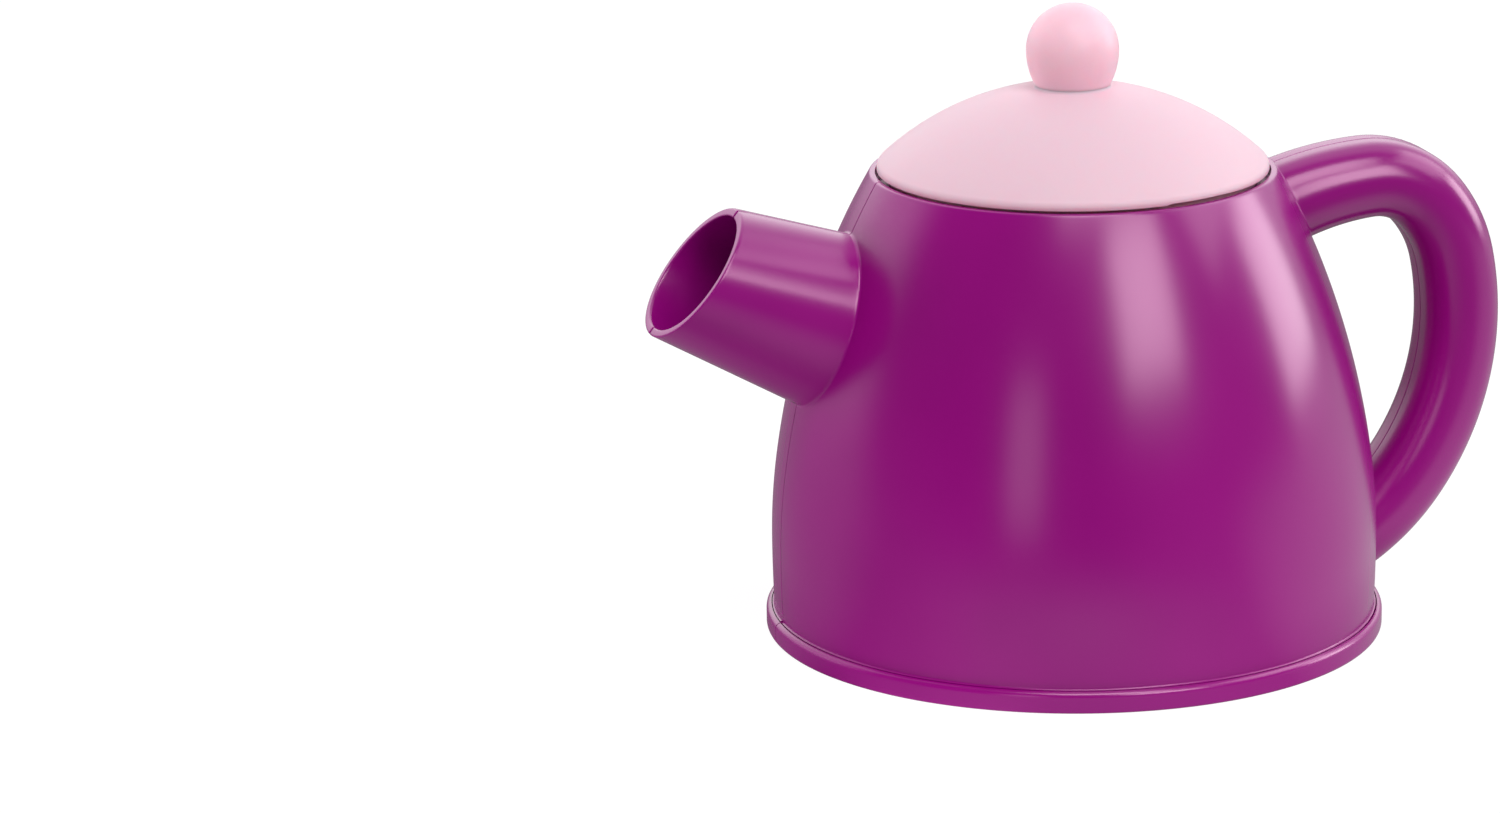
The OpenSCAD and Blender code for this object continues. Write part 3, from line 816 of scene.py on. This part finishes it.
def raise_edge(grid, c, edge_low):
    """Raises the lid's edge over the relief: by its height, times a step at its start that fades to its end,
    times a share that fades from the edge's underside over the height of its painted shade."""
    turn = np.arctan2(grid[..., 0], -grid[..., 1])
    share = np.clip((turn - c.lift_from) * LID_HIGH.x / RELIEF_STEP, 0, 1)
    share = share * np.clip((c.lift_to - turn) / (RELIEF_FADE * (c.lift_to - c.lift_from)), 0, 1)
    r = np.hypot(grid[..., 0], grid[..., 1])
    up = (grid[..., 2] - edge_low) / c.painted_shade_h
    outside = (r > LID_HIGH.x - c.undercut - c.soft_edge) & (grid[..., 2] > edge_low - c.soft_edge)
    grid[..., 2] += np.where(outside, c.lift_h * share * np.clip(1 - up, 0, 1), 0)
    return grid


def knob_neck_r(c):
    """Radius of the knob's neck, where the tuck's curve ends."""
    return c.knob_r - c.tuck_r + sqrt(c.tuck_r**2 - c.tuck_h**2)


def knob_loop(c):
    """The knob's outline from its crown down to its foot: ball, tuck, neck and flat underside."""
    z = KNOB_HIGH.z - c.knob_r
    ball = sphere_line(c.knob_r, z, 0, c.knob_r, cells=28)
    drop = shares(cells=12)[1:] * asin(c.tuck_h / c.tuck_r)
    tuck = np.stack([c.knob_r - c.tuck_r + c.tuck_r * np.cos(drop), z - c.tuck_r * np.sin(drop)], axis=1)
    neck_r = knob_neck_r(c)
    return np.concatenate([ball, tuck, [[neck_r, KNOB_LOW.z], [0, KNOB_LOW.z]]])


def connect(tree, node, inputs):
    """Links each input that is given a socket, and sets the others."""
    for key, value in inputs.items():
        if isinstance(value, bpy.types.NodeSocket):
            tree.links.new(value, node.inputs[key])
        else:
            node.inputs[key].default_value = value


def add(tree, kind, inputs=None, **settings):
    """Adds a shader node with its settings and inputs."""
    node = tree.nodes.new(kind)
    for key, value in settings.items():
        setattr(node, key, value)
    connect(tree, node, inputs or {})
    return node


def new_group(name, output, inputs):
    """A shader node group that reads a place and has one output, a name and a kind. Each further input is
    given its default, or None for a colour."""
    tree = bpy.data.node_groups.new(name, "ShaderNodeTree")
    tree.interface.new_socket("Place", in_out="INPUT", socket_type="NodeSocketVector")
    for socket, value in inputs.items():
        kind = "NodeSocketColor" if value is None else "NodeSocketFloat"
        made = tree.interface.new_socket(socket, in_out="INPUT", socket_type=kind)
        if value is not None:
            made.default_value = value
    tree.interface.new_socket(output[0], in_out="OUTPUT", socket_type=output[1])
    return tree, add(tree, "NodeGroupInput").outputs


def group_node(tree, name, place, inputs):
    """What a shared group gives at a place."""
    shared = bpy.data.node_groups[name]
    return add(tree, "ShaderNodeGroup", {"Place": place, **inputs}, node_tree=shared).outputs[0]


def calc(tree, operation, a, b=0.0, c=0.0):
    """One sum of two or three values."""
    return add(tree, "ShaderNodeMath", {0: a, 1: b, 2: c}, operation=operation).outputs[0]


def times(tree, a, b):
    """The product of two values."""
    return calc(tree, "MULTIPLY", a, b)


def ramp(tree, value, low, high, at_low=0.0, at_high=1.0, smooth=True):
    """A value carried from the range low to high to at_low to at_high, and held past its ends. A smooth ramp
    starts and ends level."""
    return add(
        tree, "ShaderNodeMapRange",
        {"Value": value, "From Min": low, "From Max": high, "To Min": at_low, "To Max": at_high},
        interpolation_type="SMOOTHSTEP" if smooth else "LINEAR",
    ).outputs[0]


def noise(tree, place, scale, detail):
    """Noise at a place, from 0 to 1."""
    return add(tree, "ShaderNodeTexNoise", {"Vector": place, "Scale": scale, "Detail": detail}).outputs["Fac"]


def blend(tree, share, a, b):
    """Colour a turned into colour b by a share."""
    return add(tree, "ShaderNodeMix", {0: share, 6: a, 7: b}, data_type="RGBA").outputs[2]


def grain_group():
    """Moulded skin: a faint waviness of the wall with a fine grain on top, as a height."""
    tree, given = new_group(
        "Moulded skin", ("Height", "NodeSocketFloat"), {"Wave": 60.0, "Grain": 2500.0, "Share": 0.2})
    wave = noise(tree, given["Place"], given["Wave"], detail=1.0)
    grain = noise(tree, given["Place"], given["Grain"], detail=2.0)
    height = add(tree, "ShaderNodeMix", {0: given["Share"], 2: wave, 3: grain}, data_type="FLOAT").outputs[0]
    add(tree, "NodeGroupOutput", {"Height": height})


def handling_group():
    """Handling: soft smudges with a few hair-thin level rubs, as a roughness."""
    tree, given = new_group(
        "Handling", ("Roughness", "NodeSocketFloat"), {"Rest": 0.3, "Smudge": 0.05, "Rub": 0.05})
    smudge = ramp(tree, noise(tree, given["Place"], scale=24.0, detail=1.0), low=0.35, high=0.7)
    drawn = add(tree, "ShaderNodeMapping", {"Vector": given["Place"], "Scale": (90.0, 90.0, 900.0)})
    rub = ramp(tree, noise(tree, drawn.outputs[0], scale=6.0, detail=3.0), low=0.62, high=0.74, smooth=False)
    total = calc(tree, "ADD", given["Rest"], times(tree, smudge, given["Smudge"]))
    total = calc(tree, "ADD", total, times(tree, rub, given["Rub"]))
    add(tree, "NodeGroupOutput", {"Roughness": total})


def drift_group():
    """Pigment: slow drift of the colour between two shades through the moulding."""
    tree, given = new_group(
        "Pigment", ("Colour", "NodeSocketColor"), {"Shade": None, "Other": None, "Scale": 18.0})
    share = ramp(tree, noise(tree, given["Place"], given["Scale"], detail=3.0), low=0.3, high=0.7)
    add(tree, "NodeGroupOutput", {"Colour": blend(tree, share, given["Shade"], given["Other"])})


def painted_shade_group():
    """Painted edge shade: one colour turned into another from one height to another, to paint shade on a lower
    edge.
    """
    tree, given = new_group(
        "Painted edge shade", ("Colour", "NodeSocketColor"),
        {"Colour": None, "Edge": None, "Edge height": 0.0, "Clear height": 1.0})
    height = add(tree, "ShaderNodeSeparateXYZ", {0: given["Place"]}).outputs[2]
    share = ramp(tree, height, given["Edge height"], given["Clear height"])
    add(tree, "NodeGroupOutput", {"Colour": blend(tree, share, given["Edge"], given["Colour"])})


def shade(rgba, share):
    """A colour scaled towards black, or past 1 towards white."""
    return (*[min(1.0, value * share) for value in rgba[:3]], 1.0)


def new_finish(name, pigment, handling, skin, relief, values, edge=None):
    """A material of the shared groups: the pigment, with painted shade on a lower edge where edge is given, as
    its colour, handling as its roughness, and the skin as its bump, with a strength and a depth. values are the
    shader's own."""
    material = bpy.data.materials.new(name)
    material.use_nodes = True
    tree = material.node_tree
    shader = tree.nodes["Principled BSDF"]
    place = add(tree, "ShaderNodeTexCoord").outputs["Object"]
    colour_out = group_node(tree, "Pigment", place, pigment)
    # Where edge is given, a lower edge is painted darker as its shade
    if edge:
        colour_out = group_node(tree, "Painted edge shade", place, {"Colour": colour_out, **edge})
    height = group_node(tree, "Moulded skin", place, skin)
    bump = add(tree, "ShaderNodeBump", {"Height": height, "Strength": relief[0], "Distance": relief[1]})
    rough = group_node(tree, "Handling", place, handling)
    connect(tree, shader, {"Base Color": colour_out, "Roughness": rough, "Normal": bump.outputs[0], **values})
    return material


def plastic(name, rgba, rough, specular, grain=2500.0, share=0.2, bump=0.02, drift=0.06,
            soft=0.0, reach=0.0, tint=(1.0, 1.0, 1.0, 1.0), edge=None):
    """Moulded plastic: pigment drift, handled roughness and a moulded skin. soft and reach say how much light
    goes through it and how far, and edge gives a lower edge's painted shade colour and the heights where it
    fades."""
    values = {"IOR": 1.5, "Specular IOR Level": specular, "Specular Tint": tint}
    if soft:
        values.update({
            "Subsurface Weight": soft, "Subsurface Radius": (1.0, 0.4, 0.5), "Subsurface Scale": reach})
    material = new_finish(
        name,
        pigment={"Shade": shade(rgba, 1 - drift), "Other": shade(rgba, 1 + drift)},
        handling={"Rest": rough, "Smudge": 0.02, "Rub": 0.02},
        skin={"Grain": grain, "Share": share},
        relief=(bump, 0.1 * MM),
        values=values,
        edge=edge,
    )
    material.diffuse_color = rgba


def zinc(rgba):
    """Zinc plated steel: crystal mottling under a fine brushed grain."""
    new_finish(
        "Zinc steel",
        pigment={"Shade": shade(rgba, 0.8), "Other": shade(rgba, 1.1), "Scale": 900.0},
        handling={"Rest": 0.28, "Smudge": 0.1, "Rub": 0.1},
        skin={"Wave": 900.0, "Grain": 6000.0, "Share": 0.5},
        relief=(0.1, 0.05 * MM),
        values={"Metallic": 1.0},
    )


class TEAPOT_OT_finishes(bpy.types.Operator):
    """Builds the shared shader groups and the five materials"""

    bl_idname = "teapot.make_finishes"
    bl_label = "Finishes"

    def execute(self, context):
        finish = context.scene.teapot_finish
        grain_group()
        handling_group()
        drift_group()
        painted_shade_group()
        plastic("Pot plastic", finish.pot, rough=finish.gloss, specular=0.9, tint=(1.0, 0.70, 0.84, 1.0))
        plastic("Base plastic", finish.base, rough=0.5, specular=0.4, grain=1800.0, share=0.7, bump=0.2)
        p, _, _, c = sizes(context)
        edge_low = Outline(p).rim_z + c.shadow_gap
        # The lid's lower edge gets a darker painted colour: painted shade and a painted reflection of the
        # purple rim
        edge = {"Edge": finish.lid_edge_shade, "Edge height": edge_low, "Clear height": edge_low + c.painted_shade_h}
        plastic(
            "Lid plastic", finish.lid, rough=0.48, specular=0.22, soft=0.5, reach=1.5 * MM, drift=0.01,
            edge=edge)
        plastic("Knob plastic", finish.knob, rough=0.4, specular=0.35, soft=0.7, reach=4 * MM, drift=0.015)
        zinc(finish.steel)
        return {"FINISHED"}


class TEAPOT_OT_shells(bpy.types.Operator):
    """Makes the two moulded halves of the pot, which meet on the upright plane through spout and handle"""

    bl_idname = "teapot.make_shells"
    bl_label = "Pot halves"

    def execute(self, context):
        p, s, h, _ = sizes(context)
        outline = Outline(p)
        wall = Wall(outline, p)
        tube = Spout(s, outline)
        body, keep = body_sheet(outline, wall, p)
        sheets = [body, *spout_sheets(outline, wall, p, s), *handle_sheets(outline, wall, h)]

        def seam_radius(co, seam_r):
            """The seam's round, and more by a bell curve of the distance from the mouth's plane."""
            away = abs((co - tube.tip) @ tube.mouth_out)
            return seam_r + p.notch_r * np.exp(-((away / p.notch_run) ** 2))

        near = sheet_mesh("near_half", sheets, keep, lambda co: seam_radius(co, p.near_seam_r))
        far = sheet_mesh("far_half", mirrored(sheets), keep, lambda co: seam_radius(co, p.far_seam_r))
        drill(far, screw_recesses(h))
        purple = bpy.data.materials["Pot plastic"]
        add_piece("near_half", near, purple, "pot", "near_shell")
        add_piece("far_half", far, purple, "pot", "far_shell")
        return {"FINISHED"}


class TEAPOT_OT_lid(bpy.types.Operator):
    """Makes the lid: a dome with a rounded edge and a locating ring"""

    bl_idname = "teapot.make_lid"
    bl_label = "Lid"

    def execute(self, context):
        p, _, _, c = sizes(context)
        edge_low = Outline(p).rim_z + c.shadow_gap
        grid = raise_edge(turned_sheet(lid_loop(c, edge_low), columns=360), c, edge_low)
        mesh = sheet_mesh("lid_dome", [grid])
        add_piece("lid_dome", mesh, bpy.data.materials["Lid plastic"], "lid_set", "lid")
        return {"FINISHED"}


class TEAPOT_OT_knob(bpy.types.Operator):
    """Makes the lid's ball knob"""

    bl_idname = "teapot.make_knob"
    bl_label = "Knob"

    def execute(self, context):
        grid = turned_sheet(knob_loop(context.scene.teapot_lid), columns=120)
        mesh = sheet_mesh("knob_ball", [grid])
        add_piece("knob_ball", mesh, bpy.data.materials["Knob plastic"], "lid_set", "lid_knob")
        return {"FINISHED"}


class TEAPOT_OT_fittings(bpy.types.Operator):
    """Finishes the base plate and the screws, which keep their CAD shapes"""

    bl_idname = "teapot.finish_fittings"
    bl_label = "Base plate and screws"

    def execute(self, context):
        finishes = {
            "base_plate": "Base plastic",
            "base_screws": "Zinc steel",
            "handle_screws": "Zinc steel",
            "knob_screw": "Zinc steel",
        }
        for node, name in finishes.items():
            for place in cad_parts[node].material_slots:
                place.material = bpy.data.materials[name]
        return {"FINISHED"}


# Colours of the lights and of the floor's matte paper
WHITE = (1, 1, 1, 1)
PAPER = (0.85, 0.85, 0.85, 1)
# Strength of the floor as the camera sees it: over 1, because the part that shows the shadow is darker
SEEN_FLOOR = 1.08
# The pool of light that glossy surfaces mirror: its middle on the floor, and how fast it fades per metre
POOL_MIDDLE = (-0.025, -0.115, 0)
POOL_FADE = -10.0
# The point from which the floor's sides are told apart
FLOOR_MIDDLE = (0, -0.03, 0)
# Each ramp is where it starts and ends, and its values there, which a setting may give instead. Right,
# across, back, up and depth are parts of a unit direction, and distances are in metres.
POOL_OVER_BACK = (-0.6, -0.25, 1.0, 0.3)
POT_SHADE_OVER_DISTANCE = (0.07, 0.105, 0.7, 1.0)
SIDE_OVER_RIGHT = (-0.3, 0.6, 0.0, 0.12)
PANEL_OVER_RIGHT = (0.55, 0.98, 0.0, 0.72)
SIDE_OVER_BACK = (-0.1, 0.4, 0.0, 0.27)
BOUNCE_OVER_BACK = (-0.7, 0.3)
BOUNCE_BEHIND = 1.25
NEAR_OVER_DISTANCE = (0.12, 0.27, 1.1, 0.0)
NEAR_OVER_RIGHT = (-0.95, -0.6, 1.5, 1.0)
NEAR_OVER_BACK = (-0.2, 0.4, 1.0, 0.0)
ROOM_OVER_ACROSS = (-0.3, 0.5, 0.0, 0.08)
# How much of across is added to back, which turns the backdrop's bright side to the right
BACKDROP_TURN = 0.2
BACKDROP_OVER_SIDE = (-0.05, 0.35)
GLOW_OVER_DEPTH = (0.55, 0.95, 0.0, 1.0)
HORIZON_OVER_UP = (0.0, 0.25, 0.3, 1.0)
FILL_OVER_DEPTH = (-0.7, 0.1)
FILL_BEHIND = 0.6
# How far the lamps stand from the pot, and the height that they face
LAMP_RANGE = 1.5
LAMP_AIM_H = 0.06
# Each softbox's bearing and rise in degrees, its width and height in metres, its radiance, and the switch
# of the rays that it is hidden from
SOFTBOXES = {
    "left_strip": (-35, 9, 0.33, 0.55, 1.35, None),
    "front_panel": (18.5, 31, 0.66, 0.66, 5.8, None),
    "right_panel": (92, 14, 0.66, 0.58, 4.8, "visible_diffuse"),
    "top_panel": (0, 62, 0.90, 0.75, 4.8, None),
    "right_high": (84, 42, 1.40, 0.75, 2.3, "visible_diffuse"),
    "left_fill": (-128, 0, 1.10, 0.80, 6.4, "visible_glossy"),
    "right_fill": (106, 5, 1.10, 0.80, 3.2, "visible_glossy"),
}
SENSOR_W = 36
VIEW_RANGE = 20


def emptied(owner):
    """The cleared node tree of a material or world."""
    owner.use_nodes = True
    owner.node_tree.nodes.clear()
    return owner.node_tree


def straight_rays(tree, path):
    """1 for rays that come straight from the camera or through clear plastic."""
    return calc(tree, "MAXIMUM", path["Is Camera Ray"], path["Is Transmission Ray"])


def bent(tree, operation, result, a, b=(0, 0, 0)):
    """One sum of two vectors, read from the named result."""
    return add(tree, "ShaderNodeVectorMath", {0: a, 1: b}, operation=operation).outputs[result]


def white_paper(stage, shadow):
    """The floor's material. The camera sees it white, with a share of the pot's shadow. Glossy surfaces show
    a pool of light in front, a bright side towards the right panel and a bright back. Diffuse ones get light
    from behind the pot, and from close by in front, most of it from the left."""
    paper = bpy.data.materials.new("White paper")
    tree = emptied(paper)
    place = add(tree, "ShaderNodeNewGeometry").outputs["Position"]
    way = bent(tree, "NORMALIZE", "Vector", bent(tree, "SUBTRACT", "Vector", place, FLOOR_MIDDLE))
    right, back, _ = add(tree, "ShaderNodeSeparateXYZ", {0: way}).outputs
    from_axis = bent(tree, "LENGTH", "Value", place)
    # Close to the pot the floor lies in its shade
    open_floor = ramp(tree, from_axis, *POT_SHADE_OVER_DISTANCE)

    from_pool = bent(tree, "DISTANCE", "Value", place, POOL_MIDDLE)
    pool = calc(tree, "EXPONENT", times(tree, from_pool, POOL_FADE))
    pool = times(tree, pool, stage.mirrored_floor)
    mirrored_floor = times(tree, pool, ramp(tree, back, *POOL_OVER_BACK, smooth=False))
    for value, side in ((right, SIDE_OVER_RIGHT), (right, PANEL_OVER_RIGHT), (back, SIDE_OVER_BACK)):
        bright = times(tree, ramp(tree, value, *side), open_floor)
        mirrored_floor = calc(tree, "MAXIMUM", mirrored_floor, bright)

    lifted = ramp(tree, back, *BOUNCE_OVER_BACK, stage.bounce, BOUNCE_BEHIND)
    near = ramp(tree, from_axis, *NEAR_OVER_DISTANCE)
    for value, fall in ((right, NEAR_OVER_RIGHT), (back, NEAR_OVER_BACK)):
        near = times(tree, near, ramp(tree, value, *fall, smooth=False))
    lifted = calc(tree, "MAXIMUM", times(tree, lifted, open_floor), near)

    path = add(tree, "ShaderNodeLightPath").outputs
    straight = straight_rays(tree, path)
    glow = add(tree, "ShaderNodeMix", {0: path["Is Diffuse Ray"], 2: mirrored_floor, 3: lifted}).outputs[0]
    strength = calc(tree, "MAXIMUM", glow, times(tree, straight, SEEN_FLOOR))
    matte = add(tree, "ShaderNodeBsdfDiffuse", {"Color": PAPER})
    white = add(tree, "ShaderNodeEmission", {"Color": WHITE, "Strength": strength})
    lit = calc(tree, "MULTIPLY_ADD", straight, -shadow, 1.0)
    mixed = add(tree, "ShaderNodeMixShader", {0: lit, 1: matte.outputs[0], 2: white.outputs[0]})
    add(tree, "ShaderNodeOutputMaterial", {"Surface": mixed.outputs[0]})
    return paper


def studio_world(stage):
    """The world. The camera sees it white. Glossy surfaces show a backdrop that is bright behind the pot,
    with a glow where the camera looks, and dims towards the horizon and the room on the camera's side.
    Diffuse ones get an even light, stronger from behind."""
    world = bpy.data.worlds.new("studio")
    tree = emptied(world)
    way = add(tree, "ShaderNodeTexCoord").outputs["Generated"]
    across, back, up = add(tree, "ShaderNodeSeparateXYZ", {0: way}).outputs
    behind = (-sin(stage.aim[2]), cos(stage.aim[2]), 0)
    depth = bent(tree, "DOT_PRODUCT", "Value", way, behind)
    room = ramp(tree, across, *ROOM_OVER_ACROSS, smooth=False)
    side = calc(tree, "MULTIPLY_ADD", across, BACKDROP_TURN, back)
    backdrop = ramp(tree, side, *BACKDROP_OVER_SIDE, room, stage.mirrored_back)
    backdrop = calc(tree, "ADD", backdrop, ramp(tree, depth, *GLOW_OVER_DEPTH))
    backdrop = times(tree, backdrop, ramp(tree, up, *HORIZON_OVER_UP, smooth=False))
    even = ramp(tree, depth, *FILL_OVER_DEPTH, stage.fill, FILL_BEHIND, smooth=False)
    path = add(tree, "ShaderNodeLightPath").outputs
    mirrored_sky = times(tree, path["Is Glossy Ray"], backdrop)
    seen = calc(tree, "MAXIMUM", straight_rays(tree, path), mirrored_sky)
    strength = calc(tree, "MAXIMUM", seen, times(tree, path["Is Diffuse Ray"], even))
    sky = add(tree, "ShaderNodeBackground", {"Color": WHITE, "Strength": strength})
    add(tree, "ShaderNodeOutputWorld", {"Surface": sky.outputs[0]})
    return world


def softbox(name, bearing, rise, width, height, radiance, hidden_from):
    """A rectangular lamp round the pot, at a bearing from -Y towards +X and a rise above level. Its power
    is radiance * pi * area, so a mirror would show it at that brightness."""
    lamp = bpy.data.lights.new(name, "AREA")
    lamp.shape = "RECTANGLE"
    lamp.size, lamp.size_y = width, height
    lamp.energy = radiance * pi * width * height
    obj = new_object(name, lamp)
    bearing, rise = radians(bearing), radians(rise)
    way = Vector((sin(bearing) * cos(rise), -cos(bearing) * cos(rise), sin(rise)))
    obj.location = Vector((0, 0, LAMP_AIM_H)) + LAMP_RANGE * way
    obj.rotation_euler = way.to_track_quat("Z", "Y").to_euler()
    if hidden_from:
        setattr(obj, hidden_from, False)


def add_camera(stage):
    """The camera, where the photograph was taken from."""
    data = bpy.data.cameras.new("camera")
    data.sensor_fit = "HORIZONTAL"
    data.sensor_width = SENSOR_W
    data.lens = stage.lens
    data.clip_end = VIEW_RANGE
    camera = new_object("camera", data)
    camera.location = stage.eye
    camera.rotation_euler = Euler(stage.aim)
    return camera


class TEAPOT_OT_stage(bpy.types.Operator):
    """Sets the white floor, the soft lamps, the world and the camera"""

    bl_idname = "teapot.set_stage"
    bl_label = "Studio"

    def execute(self, context):
        scene = context.scene
        stage = scene.teapot_stage
        half = stage.floor_w / 2
        mesh = bpy.data.meshes.new("floor")
        mesh.from_pydata(
            [(-half, -half, 0), (half, -half, 0), (half, half, 0), (-half, half, 0)], [], [(0, 1, 2, 3)])
        mesh.materials.append(white_paper(stage, scene.teapot_finish.shadow))
        floor = new_object("floor", mesh)
        scene.world = studio_world(stage)
        for name, values in SOFTBOXES.items():
            softbox(name, *values)
        scene.camera = add_camera(stage)
        scene.view_settings.view_transform = "Standard"
        return {"FINISHED"}


class VIEW3D_PT_teapot(bpy.types.Panel):
    """Lists the steps that build the teapot, and its sizes and colours"""

    bl_label = "Toy teapot"
    bl_space_type = "VIEW_3D"
    bl_region_type = "UI"
    bl_category = "Teapot"

    def draw(self, context):
        layout = self.layout
        for step in STEPS:
            layout.operator(step.bl_idname)
        for name in SETTINGS:
            group = getattr(context.scene, name)
            box = layout.box()
            for key in type(group).__annotations__:
                box.prop(group, key)


SETTINGS = {
    "teapot_body": TeapotBody,
    "teapot_spout": TeapotSpout,
    "teapot_handle": TeapotHandle,
    "teapot_lid": TeapotLid,
    "teapot_finish": TeapotFinish,
    "teapot_stage": TeapotStage,
}
STEPS = (
    TEAPOT_OT_finishes,
    TEAPOT_OT_shells,
    TEAPOT_OT_lid,
    TEAPOT_OT_knob,
    TEAPOT_OT_fittings,
    TEAPOT_OT_stage,
)


def register():
    for group in SETTINGS.values():
        bpy.utils.register_class(group)
    for name, group in SETTINGS.items():
        setattr(bpy.types.Scene, name, PointerProperty(type=group))
    for cls in (*STEPS, VIEW3D_PT_teapot):
        bpy.utils.register_class(cls)


def unregister():
    for cls in (VIEW3D_PT_teapot, *reversed(STEPS)):
        bpy.utils.unregister_class(cls)
    for name in SETTINGS:
        delattr(bpy.types.Scene, name)
    for group in reversed(SETTINGS.values()):
        bpy.utils.unregister_class(group)


def main():
    register()
    bpy.ops.teapot.make_finishes()
    bpy.ops.teapot.make_shells()
    bpy.ops.teapot.make_lid()
    bpy.ops.teapot.make_knob()
    bpy.ops.teapot.finish_fittings()
    bpy.ops.teapot.set_stage()


if __name__ == "__main__":
    main()
